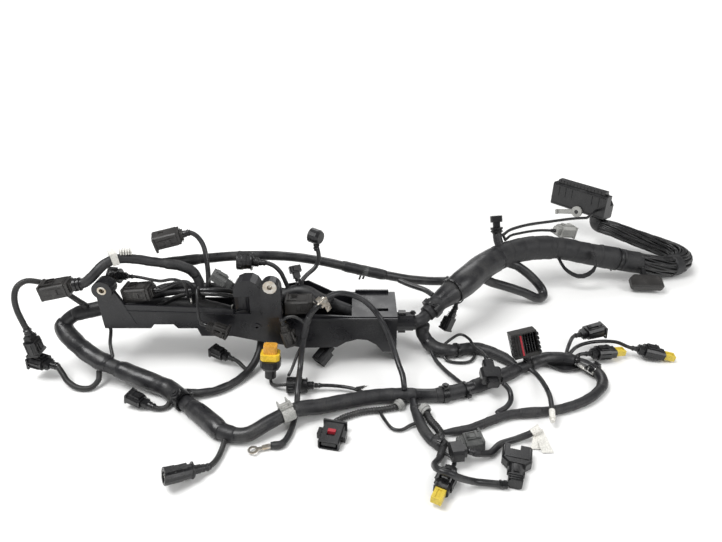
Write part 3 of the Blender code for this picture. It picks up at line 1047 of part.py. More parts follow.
def build_plugs(ends, materials):
    """Every plug that sits on the end of a lead."""
    black, grey = materials["black"], materials["grey"]
    seat_on_lead(coil_plug("coil_plug_1", materials["brown"]), ends["coil_1"])
    seat_on_lead(coil_plug("coil_plug_2", materials["brown"]), ends["coil_2"])
    seat_on_lead(coil_plug("coil_plug_3", materials["brown"]), ends["coil_3"])
    seat_on_lead(coil_plug("coil_plug_4", materials["brown"]), ends["coil_4"])
    seat_on_lead(latch_plug("probe_plug_upper", PROBE_PLUG, black), ends["link"], 90)
    seat_on_lead(latch_plug("probe_plug_lower", PROBE_PLUG, black), ends["probe"])
    seat_on_lead(latch_plug("knock_plug", SMALL_PLUG, black), ends["knock"])
    seat_on_lead(latch_plug("oil_plug", SMALL_PLUG, black), ends["oil"])
    seat_on_lead(latch_plug("coolant_plug", SMALL_PLUG, grey), ends["coolant"], 90)
    seat_on_lead(latch_plug("cam_plug", SMALL_PLUG, grey), ends["cam"], 90)
    seat_on_lead(latch_plug("hanging_plug", SMALL_PLUG, black), ends["hanging"], 90)
    seat_on_lead(latch_plug("riser_plug", (0.010, 0.018, 0.012), black), ends["riser"])
    seat_on_lead(latch_plug("valve_plug", PROBE_PLUG, black), ends["valve"])
    seat_on_lead(latch_plug("upright_plug", (0.009, 0.016, 0.010), black), ends["upright"])
    seat_on_lead(latch_plug("grey_plug", SMALL_PLUG, materials["light_grey"]), ends["grey"])
    seat_on_lead(latch_plug("grey_small_plug", PROBE_PLUG, grey), ends["grey_small"])
    seat_on_lead(latch_plug("grey_pair_plug", (0.030, 0.022, 0.020), grey), ends["grey_pair"])
    seat_on_lead(stacked("flat_plug", FLAT_PLUG, materials["brown"]), ends["flat"])
    seat_on_lead(round_plug("round_plug_left", black, diameter=0.018), ends["round_1"])
    seat_on_lead(round_plug("round_plug_middle", black, length=0.020, diameter=0.022), ends["round_2"])
    raised = turned("round_plug_raised", RAISED_PLUG, black, sides=14)
    aim(raised, at_bench(RAISED_PLUG_PLACE), RAISED_PLUG_DIRECTION)
    seat_on_lead(round_plug("inline_plug", black, length=0.026, diameter=0.0180), ends["inline"])
    seat_on_lead(latch_plug("injector_plug_1", INJECTOR_PLUG, black), ends["injector_1"])
    for number in (2, 3):
        plug, end = locked_plug(f"injector_plug_{number}", INJECTOR_PLUG, black)
        seat_on_lead(plug, ends[f"injector_{number}"])
        sliding_lock(f"injector_lock_{number}", plug, end, materials["yellow"])
    plug, end = locked_plug("injector_plug_4", INJECTOR_PLUG, black)
    seat_on_lead(plug, ends["lock_wire"])
    sliding_lock("injector_lock_4", plug, end, materials["yellow"])
    crank_plug(ends["crank"], black)
    junction_block(ends["block"], black)
    ring_terminal(ends["ground"], materials["steel"])


def build():
    clear_scene()
    materials = {
        "black": plastic("black_plastic", (0.018, 0.018, 0.019), 0.48),
        "moulding": plastic("channel_plastic", (0.016, 0.017, 0.019), 0.5),
        "brown": plastic("brown_black_plastic", (0.036, 0.031, 0.028), 0.5),
        "grey": plastic("grey_plastic", (0.14, 0.14, 0.135), 0.5),
        "light_grey": plastic("light_grey_plastic", (0.42, 0.41, 0.38), 0.5),
        "white": plastic("white_plastic", (0.72, 0.71, 0.66), 0.5),
        "yellow": plastic("yellow_plastic", (0.83, 0.55, 0.03), 0.42),
        "amber": plastic("amber_plastic", (0.42, 0.27, 0.12), 0.4),
        "red": plastic("red_plastic", (0.5, 0.035, 0.06), 0.45),
        "tape": plastic("cloth_tape", (0.02, 0.02, 0.021), 0.75),
        "sleeving": plastic("sleeving", (0.024, 0.024, 0.025), 0.45),
        "wires": plastic("bundled_wires", (0.026, 0.025, 0.025), 0.5),
        "steel": plastic("plated_steel", (0.55, 0.55, 0.53), 0.3, 1.0),
    }
    channel(materials["moulding"])
    sleeve("left_lug_sleeve", LEFT_LUG_PLACE, LEFT_LUG_FRONT, LEFT_LUG_LENGTH, LEFT_SLEEVE_DIAMETER, None, materials["steel"])
    middle_x, middle_z = MIDDLE_LUG_PLACE
    place = (middle_x, middle_z + MIDDLE_HOLE_RISE)
    sleeve("middle_lug_sleeve", place, MIDDLE_LUG_FRONT, MIDDLE_LUG_LENGTH, MIDDLE_SLEEVE_DIAMETER,
           MIDDLE_FLANGE_DIAMETER, materials["steel"])
    ends = build_looms(materials)
    build_plugs(ends, materials)
    edge_clip(materials["white"])
    cable_strap(materials["tape"])
    throttle_plug(materials["black"], materials["red"])
    sensor_plug(materials["black"])
    header_plug(materials["black"], materials["red"])
    pressure_plug(materials)
    branch_plug(materials["black"])
    control_plug(materials["black"], materials["light_grey"])
    bpy.context.view_layer.update()


build()
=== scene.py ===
# An engine wiring harness laid out on a bench: cable channel, taped trunks, sleeved leads and plugs.
# Routes are in metres on the bench and are moved to the harness's middle by benchMiddle.
import json
import math
from collections import namedtuple

import bmesh
import bpy
from mathutils import Matrix, Vector


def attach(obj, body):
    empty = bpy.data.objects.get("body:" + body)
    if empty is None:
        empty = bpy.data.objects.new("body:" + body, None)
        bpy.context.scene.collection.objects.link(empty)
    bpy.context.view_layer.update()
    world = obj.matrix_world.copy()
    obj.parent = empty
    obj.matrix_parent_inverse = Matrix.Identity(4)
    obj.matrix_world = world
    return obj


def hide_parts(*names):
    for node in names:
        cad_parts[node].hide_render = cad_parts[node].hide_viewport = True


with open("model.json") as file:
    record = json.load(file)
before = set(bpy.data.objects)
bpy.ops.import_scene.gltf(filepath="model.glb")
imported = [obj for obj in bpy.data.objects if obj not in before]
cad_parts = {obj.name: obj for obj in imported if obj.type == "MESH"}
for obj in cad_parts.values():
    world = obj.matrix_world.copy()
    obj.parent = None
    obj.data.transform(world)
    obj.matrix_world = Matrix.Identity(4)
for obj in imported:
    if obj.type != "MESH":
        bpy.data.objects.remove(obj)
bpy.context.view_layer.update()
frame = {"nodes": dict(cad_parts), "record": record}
parts = frame["nodes"]
benchMiddle = Vector((0.0844, 0.7162, 0.0002))
print("frame loaded:", len(parts), "nodes")

# Camera at the photograph's place: degrees down, lens and sensor in mm
cameraLook = {"place": (-0.0844, -0.7162, 0.4548), "downward": 27.7, "lens": 27.025, "sensor": 36.0}
cameraData = bpy.data.cameras.new("benchCamera")
cameraData.lens = cameraLook["lens"]
cameraData.sensor_width = cameraLook["sensor"]
camera = bpy.data.objects.new("benchCamera", cameraData)
camera.location = cameraLook["place"]
camera.rotation_euler = (math.radians(90 - cameraLook["downward"]), 0.0, 0.0)
bpy.context.scene.collection.objects.link(camera)
bpy.context.scene.camera = camera


# Materials
def newMaterial(name, roughness=0.5):
    material = bpy.data.materials.new(name)
    material.use_nodes = True
    shader = material.node_tree.nodes["Principled BSDF"]
    shader.inputs["Roughness"].default_value = roughness
    return material, material.node_tree, shader


def addNode(tree, kind, **settings):
    node = tree.nodes.new(kind)
    for key, value in settings.items():
        if hasattr(node, key):
            setattr(node, key, value)
        else:
            node.inputs[key].default_value = value
    return node


def noiseNode(tree, vector, scale, detail=3.0, stretch=None):
    noise = addNode(tree, "ShaderNodeTexNoise")
    noise.inputs["Scale"].default_value = scale
    noise.inputs["Detail"].default_value = detail
    if stretch:
        mapping = addNode(tree, "ShaderNodeMapping")
        mapping.inputs["Scale"].default_value = stretch
        tree.links.new(vector, mapping.inputs["Vector"])
        vector = mapping.outputs["Vector"]
    tree.links.new(vector, noise.inputs["Vector"])
    return noise.outputs["Fac"]


def linkMath(tree, operation, *values):
    node = tree.nodes.new("ShaderNodeMath")
    node.operation = operation
    for socket, value in zip(node.inputs, values):
        if isinstance(value, (int, float)):
            socket.default_value = value
        else:
            tree.links.new(value, socket)
    return node.outputs[0]


def rampNode(tree, factor, stops):
    ramp = addNode(tree, "ShaderNodeValToRGB")
    elements = ramp.color_ramp.elements
    for index, (place, colour) in enumerate(stops):
        element = elements[index] if index < 2 else elements.new(place)
        element.position = place
        element.color = (*colour, 1.0) if len(colour) == 3 else colour
    tree.links.new(factor, ramp.inputs["Fac"])
    return ramp.outputs["Color"]


def spread(tree, factor, low, high):
    node = addNode(tree, "ShaderNodeMapRange")
    node.inputs["To Min"].default_value = low
    node.inputs["To Max"].default_value = high
    node.inputs["From Min"].default_value = 0.25
    node.inputs["From Max"].default_value = 0.75
    tree.links.new(factor, node.inputs["Value"])
    return node.outputs["Result"]


def bumpNode(tree, shader, height, strength, distance):
    bump = addNode(tree, "ShaderNodeBump")
    bump.inputs["Strength"].default_value = strength
    bump.inputs["Distance"].default_value = distance
    tree.links.new(height, bump.inputs["Height"])
    tree.links.new(bump.outputs["Normal"], shader.inputs["Normal"])


def shaded(colour, factor):
    return tuple(min(1.0, part * factor) for part in colour)


# Moulded plastics: clean colour, colour of the dust in patches, roughness and depth of the grain
plasticLooks = {
    "black_plastic": {"colour": (0.0095, 0.0095, 0.0105), "dust": (0.027, 0.0265, 0.026),
                      "roughness": 0.28, "grain": 0.00012},
    "channel_plastic": {"colour": (0.0080, 0.0080, 0.0098), "dust": (0.021, 0.021, 0.0225),
                        "roughness": 0.30, "grain": 0.00015},
    "brown_black_plastic": {"colour": (0.022, 0.0205, 0.0195), "dust": (0.056, 0.053, 0.049),
                            "roughness": 0.42, "grain": 0.00012},
    "grey_plastic": {"colour": (0.075, 0.077, 0.075), "dust": (0.13, 0.128, 0.12),
                     "roughness": 0.5, "grain": 0.0001},
    "light_grey_plastic": {"colour": (0.30, 0.30, 0.285), "dust": (0.42, 0.41, 0.39),
                           "roughness": 0.45, "grain": 0.0001},
    "white_plastic": {"colour": (0.62, 0.61, 0.57), "dust": (0.45, 0.42, 0.37),
                      "roughness": 0.42, "grain": 0.0001},
    "yellow_plastic": {"colour": (0.78, 0.52, 0.035), "dust": (0.60, 0.40, 0.06),
                       "roughness": 0.40, "grain": 0.0001},
    "dull_yellow": {"colour": (0.56, 0.42, 0.045), "dust": (0.40, 0.31, 0.07),
                    "roughness": 0.42, "grain": 0.0001},
    "amber_plastic": {"colour": (0.66, 0.33, 0.05), "dust": (0.50, 0.27, 0.07),
                      "roughness": 0.30, "grain": 0.0001},
    "red_plastic": {"colour": (0.33, 0.016, 0.028), "dust": (0.22, 0.022, 0.03),
                    "roughness": 0.42, "grain": 0.0001},
    "pale_rubber": {"colour": (0.26, 0.26, 0.25), "dust": (0.34, 0.33, 0.31),
                    "roughness": 0.6, "grain": 0.0002},
}


def plasticMaterial(name, look):
    # moulded plastic: fine grain, soft dust in patches and faint scratches
    material, tree, shader = newMaterial(name)
    place = addNode(tree, "ShaderNodeTexCoord").outputs["Object"]
    patches = noiseNode(tree, place, 42.0, 5.0)
    speckle = noiseNode(tree, place, 620.0, 2.0)
    scratches = noiseNode(tree, place, 130.0, 2.0, (0.12, 1.0, 2.2))
    worn = linkMath(tree, "MULTIPLY", patches, speckle)
    clean, dusty = look["colour"], look["dust"]
    colour = rampNode(tree, worn, [(0.18, shaded(clean, 0.85)), (0.42, dusty), (0.30, shaded(clean, 1.15))])
    tree.links.new(colour, shader.inputs["Base Color"])
    rough = spread(tree, patches, look["roughness"] - 0.09, look["roughness"] + 0.14)
    tree.links.new(rough, shader.inputs["Roughness"])
    height = linkMath(tree, "MULTIPLY_ADD", speckle, 0.7, scratches)
    bumpNode(tree, shader, height, 0.30, look["grain"])
    return material


def steelMaterial(name, colour, rust):
    material, tree, shader = newMaterial(name)
    shader.inputs["Metallic"].default_value = 1.0
    place = addNode(tree, "ShaderNodeTexCoord").outputs["Object"]
    patches = noiseNode(tree, place, 160.0, 4.0)
    fine = noiseNode(tree, place, 900.0, 2.0, (1.0, 0.2, 1.0))
    tint = rampNode(tree, patches, [(0.35, colour), (0.72, rust)])
    tree.links.new(tint, shader.inputs["Base Color"])
    tree.links.new(spread(tree, fine, 0.24, 0.46), shader.inputs["Roughness"])
    bumpNode(tree, shader, fine, 0.25, 0.0001)
    return material


# Tape, sleeve and wire: the same, with the tape's advance in one turn
cordLooks = {
    "tape": {"colour": (0.012, 0.012, 0.0135), "dust": (0.030, 0.0295, 0.0295),
             "roughness": 0.47, "turn": 0.017},
    "trunkTape": {"colour": (0.0095, 0.0095, 0.0108), "dust": (0.024, 0.0235, 0.024),
                  "roughness": 0.52, "turn": 0.026},
    "sleeve": {"colour": (0.014, 0.014, 0.0155), "dust": (0.037, 0.0365, 0.036),
               "roughness": 0.31, "turn": 0.0},
    "ribbed": {"colour": (0.0135, 0.0135, 0.0135), "dust": (0.034, 0.033, 0.032),
               "roughness": 0.35, "turn": 0.0},
    "wire": {"colour": (0.0100, 0.0100, 0.0108), "dust": (0.028, 0.0275, 0.027),
             "roughness": 0.29, "turn": 0.0},
}


def cordMaterial(name, look):
    # the cord's own UV map runs round it in U and along it in V, in metres
    material, tree, shader = newMaterial(name)
    run = addNode(tree, "ShaderNodeUVMap", uv_map="run").outputs["UV"]
    place = addNode(tree, "ShaderNodeTexCoord").outputs["Object"]
    split = addNode(tree, "ShaderNodeSeparateXYZ")
    tree.links.new(run, split.inputs[0])
    around, along = split.outputs[0], split.outputs[1]
    dirt = noiseNode(tree, place, 55.0, 5.0)
    speckle = noiseNode(tree, place, 700.0, 2.0)
    creases = noiseNode(tree, run, 9.0, 3.0, (1.3, 26.0, 1.0))
    worn = linkMath(tree, "MULTIPLY", dirt, linkMath(tree, "ADD", speckle, 0.35))
    clean, dusty = look["colour"], look["dust"]
    factor = worn
    height = linkMath(tree, "MULTIPLY_ADD", speckle, 0.25, creases)
    if look["turn"]:
        # spiral overlap of the tape, one edge for each turn
        phase = linkMath(tree, "MULTIPLY_ADD", along, 1.0 / look["turn"], around)
        lap = linkMath(tree, "FRACT", phase)
        edge = linkMath(tree, "LESS_THAN", lap, 0.07)
        factor = linkMath(tree, "MULTIPLY_ADD", edge, -0.10, worn)
        weave = linkMath(tree, "SINE", linkMath(tree, "MULTIPLY", along, 2 * math.pi / 0.0011))
        height = linkMath(tree, "MULTIPLY_ADD", lap, 0.9, linkMath(tree, "MULTIPLY_ADD", weave, 0.06, height))
    colour = rampNode(tree, factor, [(0.26, shaded(clean, 0.8)), (0.60, dusty), (0.40, shaded(clean, 1.2))])
    tree.links.new(colour, shader.inputs["Base Color"])
    rough = spread(tree, dirt, look["roughness"] - 0.08, look["roughness"] + 0.16)
    tree.links.new(rough, shader.inputs["Roughness"])
    bumpNode(tree, shader, height, 0.42, 0.0005)
    return material


finishes = {name: plasticMaterial(name, look) for name, look in plasticLooks.items()}
finishes.update({name: cordMaterial(name, look) for name, look in cordLooks.items()})
finishes["plated_steel"] = steelMaterial("plated_steel", (0.62, 0.60, 0.56), (0.42, 0.34, 0.24))
finishes["bare_tin"] = steelMaterial("bare_tin", (0.70, 0.70, 0.69), (0.52, 0.50, 0.46))
print("materials made:", len(finishes))

slotFinishes = {"cloth_tape": "tape", "sleeving": "sleeve", "bundled_wires": "wire"}
slotOf = {row["node"]: row["material_slot"] for row in frame["record"]["subparts"]}
nodeFinishes = {
    "grey_pair_plug": "light_grey_plastic", "grey_plug": "grey_plastic",
    "header_plug": "brown_black_plastic", "coolant_plug": "brown_black_plastic",
    "cam_plug": "brown_black_plastic",
    "injector_lock_2": "dull_yellow", "injector_lock_3": "dull_yellow", "injector_lock_4": "dull_yellow",
}


def finishOf(node):
    return nodeFinishes.get(node, slotFinishes.get(slotOf[node], slotOf[node]))


for name, piece in parts.items():
    for holder in piece.material_slots:
        holder.material = finishes[finishOf(name)]


# Smooth routes through the chosen points, the same curves as the CAD's
def hermite(start, startSlope, end, endSlope, length, share):
    squared, cubed = share ** 2, share ** 3
    return (start * (2 * cubed - 3 * squared + 1) + startSlope * length * (cubed - 2 * squared + share)
            + end * (3 * squared - 2 * cubed) + endSlope * length * (cubed - squared))


def routeStops(text):
    # the chosen points of a route, moved from the bench to the harness's middle
    return [Vector([float(number) for number in stop.split(",")]) - benchMiddle for stop in text.split(";")]


def smoothRoute(text, step=0.002):
    stops = routeStops(text)
    gaps = [(after - before).length for before, after in zip(stops, stops[1:])]
    slopes = [(stops[1] - stops[0]) / gaps[0]]
    for index in range(1, len(stops) - 1):
        slopes.append((stops[index + 1] - stops[index - 1]) / (gaps[index - 1] + gaps[index]))
    slopes.append((stops[-1] - stops[-2]) / gaps[-1])
    points = [stops[0]]
    for index, gap in enumerate(gaps):
        count = max(2, round(gap / step))
        for number in range(1, count + 1):
            after = index + 1
            points.append(hermite(stops[index], slopes[index], stops[after], slopes[after], gap,
                                  number / count))
    return points


def lengthOf(points):
    return sum((after - before).length for before, after in zip(points, points[1:]))


# The loom's Geometry Nodes tree: a tube round a path, with lumps, ribs and a closed end at both ends
def linkVector(tree, operation, first, second=None, scale=None):
    node = tree.nodes.new("ShaderNodeVectorMath")
    node.operation = operation
    tree.links.new(first, node.inputs[0])
    if second is not None:
        tree.links.new(second, node.inputs[1])
    if scale is not None:
        tree.links.new(scale, node.inputs["Scale"])
    return node.outputs[0]


def linkTaper(tree, run, share, length):
    # grows smoothly from a share of the radius at the end to all of it after a length
    node = tree.nodes.new("ShaderNodeMapRange")
    node.interpolation_type = "SMOOTHSTEP"
    tree.links.new(run, node.inputs["Value"])
    tree.links.new(length, node.inputs["From Max"])
    tree.links.new(share, node.inputs["To Min"])
    return node.outputs["Result"]


def addLoomSockets(tree):
    # named inputs for the sizes, and the mesh as the one output
    face = tree.interface
    face.new_socket("Geometry", in_out="INPUT", socket_type="NodeSocketGeometry")
    sizes = {
        "Radius": 0.005, "End Radius": 0.005, "Lump Height": 0.0, "Lump Length": 0.03,
        "Rib Height": 0.0, "Rib Pitch": 0.003, "Turn Height": 0.0, "Turn Pitch": 0.02, "Seed": 0.0,
        "Neck Share": 1.0, "Neck Length": 0.01, "Tail Share": 1.0, "Tail Length": 0.01,
    }
    for name, value in sizes.items():
        face.new_socket(name, in_out="INPUT", socket_type="NodeSocketFloat").default_value = value
    for name, value in (("Sides", 16), ("Rows", 50)):
        face.new_socket(name, in_out="INPUT", socket_type="NodeSocketInt").default_value = value
    face.new_socket("Finish", in_out="INPUT", socket_type="NodeSocketMaterial")
    face.new_socket("Geometry", in_out="OUTPUT", socket_type="NodeSocketGeometry")


def linkLumps(tree, given, metres, cosine, sine):
    # soft lumps where wires press through the tape, with no step at the seam
    lumpPlace = tree.nodes.new("ShaderNodeCombineXYZ")
    along = linkMath(tree, "DIVIDE", metres, given["Lump Length"])
    tree.links.new(linkMath(tree, "ADD", along, given["Seed"]), lumpPlace.inputs[0])
    tree.links.new(linkMath(tree, "MULTIPLY", cosine, 0.45), lumpPlace.inputs[1])
    tree.links.new(linkMath(tree, "MULTIPLY", sine, 0.45), lumpPlace.inputs[2])
    noise = tree.nodes.new("ShaderNodeTexNoise")
    noise.inputs["Detail"].default_value = 1.5
    noise.inputs["Scale"].default_value = 1.0
    tree.links.new(lumpPlace.outputs[0], noise.inputs["Vector"])
    return linkMath(tree, "MULTIPLY", linkMath(tree, "SUBTRACT", noise.outputs[0], 0.5), given["Lump Height"])


def linkRadius(tree, given, share, metres, total, around, cosine, sine):
    # radius at each corner: growth to the far end, lumps, ribs, tape turns and both tapers
    lump = linkLumps(tree, given, metres, cosine, sine)
    ribAngle = linkMath(tree, "MULTIPLY", linkMath(tree, "DIVIDE", metres, given["Rib Pitch"]), 2 * math.pi)
    rib = linkMath(tree, "MULTIPLY", linkMath(tree, "COSINE", ribAngle), given["Rib Height"])
    turns = linkMath(tree, "DIVIDE", metres, given["Turn Pitch"])
    lap = linkMath(tree, "FRACT", linkMath(tree, "ADD", turns, around))
    lap = linkMath(tree, "MULTIPLY", lap, given["Turn Height"])
    wider = linkMath(tree, "SUBTRACT", given["End Radius"], given["Radius"])
    plain = linkMath(tree, "ADD", given["Radius"], linkMath(tree, "MULTIPLY", wider, share))
    relief = linkMath(tree, "ADD", lump, linkMath(tree, "ADD", rib, lap))
    radius = linkMath(tree, "ADD", plain, relief)
    neck = linkTaper(tree, metres, given["Neck Share"], given["Neck Length"])
    left = linkMath(tree, "SUBTRACT", total, metres)
    tail = linkTaper(tree, left, given["Tail Share"], given["Tail Length"])
    return linkMath(tree, "MULTIPLY", linkMath(tree, "MULTIPLY", radius, neck), tail)


def storeRun(tree, sheet, total):
    # the UV map: round the loom in U, along it in metres in V
    spot = tree.nodes.new("ShaderNodeSeparateXYZ")
    tree.links.new(sheet.outputs["UV Map"], spot.inputs[0])
    pair = tree.nodes.new("ShaderNodeCombineXYZ")
    tree.links.new(spot.outputs[0], pair.inputs[0])
    tree.links.new(linkMath(tree, "MULTIPLY", spot.outputs[1], total), pair.inputs[1])
    store = tree.nodes.new("GeometryNodeStoreNamedAttribute")
    store.data_type, store.domain = "FLOAT2", "CORNER"
    store.inputs["Name"].default_value = "run"
    tree.links.new(sheet.outputs["Mesh"], store.inputs["Geometry"])
    tree.links.new(pair.outputs[0], store.inputs["Value"])
    return store.outputs[0]


def buildLoomTree():
    tree = bpy.data.node_groups.new("loomAlongPath", "GeometryNodeTree")
    addLoomSockets(tree)
    entry, leave = tree.nodes.new("NodeGroupInput"), tree.nodes.new("NodeGroupOutput")
    given = entry.outputs
    lengthNode = tree.nodes.new("GeometryNodeCurveLength")
    tree.links.new(given["Geometry"], lengthNode.inputs["Curve"])
    total = lengthNode.outputs["Length"]
    # a flat sheet, X round the loom and Y along it, is bent round the path
    sheet = tree.nodes.new("GeometryNodeMeshGrid")
    sheet.inputs["Size X"].default_value = 1.0
    sheet.inputs["Size Y"].default_value = 1.0
    tree.links.new(linkMath(tree, "ADD", given["Sides"], 1), sheet.inputs["Vertices X"])
    tree.links.new(given["Rows"], sheet.inputs["Vertices Y"])
    spot = tree.nodes.new("ShaderNodeSeparateXYZ")
    tree.links.new(tree.nodes.new("GeometryNodeInputPosition").outputs[0], spot.inputs[0])
    around = linkMath(tree, "ADD", spot.outputs[0], 0.5)
    lastRow = linkMath(tree, "SUBTRACT", given["Rows"], 1)
    row = linkMath(tree, "MULTIPLY", linkMath(tree, "ADD", spot.outputs[1], 0.5), lastRow)
    # the first and last rows shrink to a point and close the ends
    between = linkMath(tree, "SUBTRACT", lastRow, 2)
    inner = linkMath(tree, "DIVIDE", linkMath(tree, "SUBTRACT", row, 1), between)
    share = linkMath(tree, "MINIMUM", linkMath(tree, "MAXIMUM", inner, 0.0), 1.0)
    metres = linkMath(tree, "MULTIPLY", share, total)
    startOpen = linkMath(tree, "GREATER_THAN", row, 0.5)
    endOpen = linkMath(tree, "LESS_THAN", row, linkMath(tree, "SUBTRACT", lastRow, 0.5))
    opened = linkMath(tree, "MULTIPLY", startOpen, endOpen)
    sample = tree.nodes.new("GeometryNodeSampleCurve")
    sample.mode = "FACTOR"
    tree.links.new(given["Geometry"], sample.inputs["Curves"])
    tree.links.new(share, sample.inputs["Factor"])
    sideways = linkVector(tree, "CROSS_PRODUCT", sample.outputs["Tangent"], sample.outputs["Normal"])
    angle = linkMath(tree, "MULTIPLY", around, 2 * math.pi)
    cosine, sine = linkMath(tree, "COSINE", angle), linkMath(tree, "SINE", angle)
    radius = linkRadius(tree, given, share, metres, total, around, cosine, sine)
    radius = linkMath(tree, "MULTIPLY", radius, opened)
    across, rise = linkMath(tree, "MULTIPLY", cosine, radius), linkMath(tree, "MULTIPLY", sine, radius)
    outward = linkVector(tree, "SCALE", sample.outputs["Normal"], scale=across)
    aside = linkVector(tree, "SCALE", sideways, scale=rise)
    place = linkVector(tree, "ADD", sample.outputs["Position"], linkVector(tree, "ADD", outward, aside))
    move = tree.nodes.new("GeometryNodeSetPosition")
    tree.links.new(storeRun(tree, sheet, total), move.inputs["Geometry"])
    tree.links.new(place, move.inputs["Position"])
    weld = tree.nodes.new("GeometryNodeMergeByDistance")
    weld.inputs["Distance"].default_value = 0.000002
    tree.links.new(move.outputs[0], weld.inputs["Geometry"])
    smooth = tree.nodes.new("GeometryNodeSetShadeSmooth")
    tree.links.new(weld.outputs[0], smooth.inputs["Geometry"])
    solid = tree.nodes.new("GeometryNodeRealizeInstances")
    tree.links.new(smooth.outputs[0], solid.inputs["Geometry"])
    paint = tree.nodes.new("GeometryNodeSetMaterial")
    tree.links.new(solid.outputs[0], paint.inputs["Geometry"])
    tree.links.new(given["Finish"], paint.inputs["Material"])
    tree.links.new(paint.outputs[0], leave.inputs["Geometry"])
    return tree


loomTree = buildLoomTree()
socketIds = {item.name: item.identifier for item in loomTree.interface.items_tree if item.in_out == "INPUT"}


def loomMesh(name, points, values):
    # runs the tree on one path and gives back a plain mesh
    curve = bpy.data.curves.new(name, "CURVE")
    curve.dimensions = "3D"
    spline = curve.splines.new("POLY")
    spline.points.add(len(points) - 1)
    for knot, place in zip(spline.points, points):
        knot.co = (*place, 1.0)
    guide = bpy.data.objects.new(name, curve)
    bpy.context.scene.collection.objects.link(guide)
    step = guide.modifiers.new("loom", "NODES")
    step.node_group = loomTree
    for key, value in values.items():
        step[socketIds[key]] = value
    shown = guide.evaluated_get(bpy.context.evaluated_depsgraph_get())
    mesh = bpy.data.meshes.new_from_object(shown)
    bpy.data.objects.remove(guide)
    bpy.data.curves.remove(curve)
    return mesh


def loomValues(style, radius, endRadius, length, seed, ends=None):
    look = styles[style]
    rowStep = look.get("row", 0.0022)
    taper = {"Neck Share": 1.0, "Neck Length": 0.01, "Tail Share": 1.0, "Tail Length": 0.01}
    taper.update(ends or {})
    return {
        **taper,
        "Radius": radius, "End Radius": endRadius, "Seed": seed,
        "Lump Height": look.get("lump", 0.0) * radius, "Lump Length": look.get("lumpLength", 0.02),
        "Rib Height": look.get("rib", 0.0), "Rib Pitch": look.get("pitch", 0.003),
        "Turn Height": look.get("turnHeight", 0.0), "Turn Pitch": look.get("turnPitch", 0.02),
        "Sides": look.get("sides", 16), "Rows": max(8, round(length / rowStep) + 3),
        "Finish": finishes[look["finish"]],
    }


# How each kind of loom is made: lumps as a share of the radius, ribs and tape turns in metres
styles = {
    "tape": {"finish": "tape", "lump": 0.16, "turnHeight": 0.0004, "turnPitch": 0.017, "sides": 18},
    "trunkTape": {"finish": "trunkTape", "lump": 0.11, "lumpLength": 0.03, "turnHeight": 0.0007,
                  "turnPitch": 0.026, "sides": 28},
    "sleeve": {"finish": "sleeve", "lump": 0.13, "lumpLength": 0.028, "sides": 18},
    "loose": {"finish": "sleeve", "lump": 0.34, "lumpLength": 0.024, "sides": 26, "row": 0.0016},
    "ribbed": {"finish": "ribbed", "rib": 0.00028, "pitch": 0.0024, "row": 0.0006, "sides": 14},
    "corrugated": {"finish": "ribbed", "rib": 0.00045, "pitch": 0.0032, "row": 0.0007, "sides": 16},
    "wire": {"finish": "wire", "lump": 0.05, "sides": 12, "row": 0.003},
}
benchTop = 0.0001


def finishedPiece(name, mesh):
    # what would reach under the bench is pressed flat on it
    for corner in mesh.vertices:
        corner.co.z = max(corner.co.z, benchTop)
    piece = bpy.data.objects.new(name, mesh)
    bpy.context.scene.collection.objects.link(piece)
    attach(piece, "root")
    return piece


def trimmed(points, startTrim, endTrim):
    # the path without a length at either end
    kept = list(points)
    for side in (0, -1):
        wanted = startTrim if side == 0 else endTrim
        while wanted > 0 and len(kept) > 3:
            gone = (kept[1] - kept[0]).length if side == 0 else (kept[-1] - kept[-2]).length
            if gone > wanted:
                break
            wanted -= gone
            kept.pop(0 if side == 0 else -1)
    return kept


def stretchOf(points, startShare, endShare):
    total = lengthOf(points)
    return trimmed(points, startShare * total, (1 - endShare) * total)


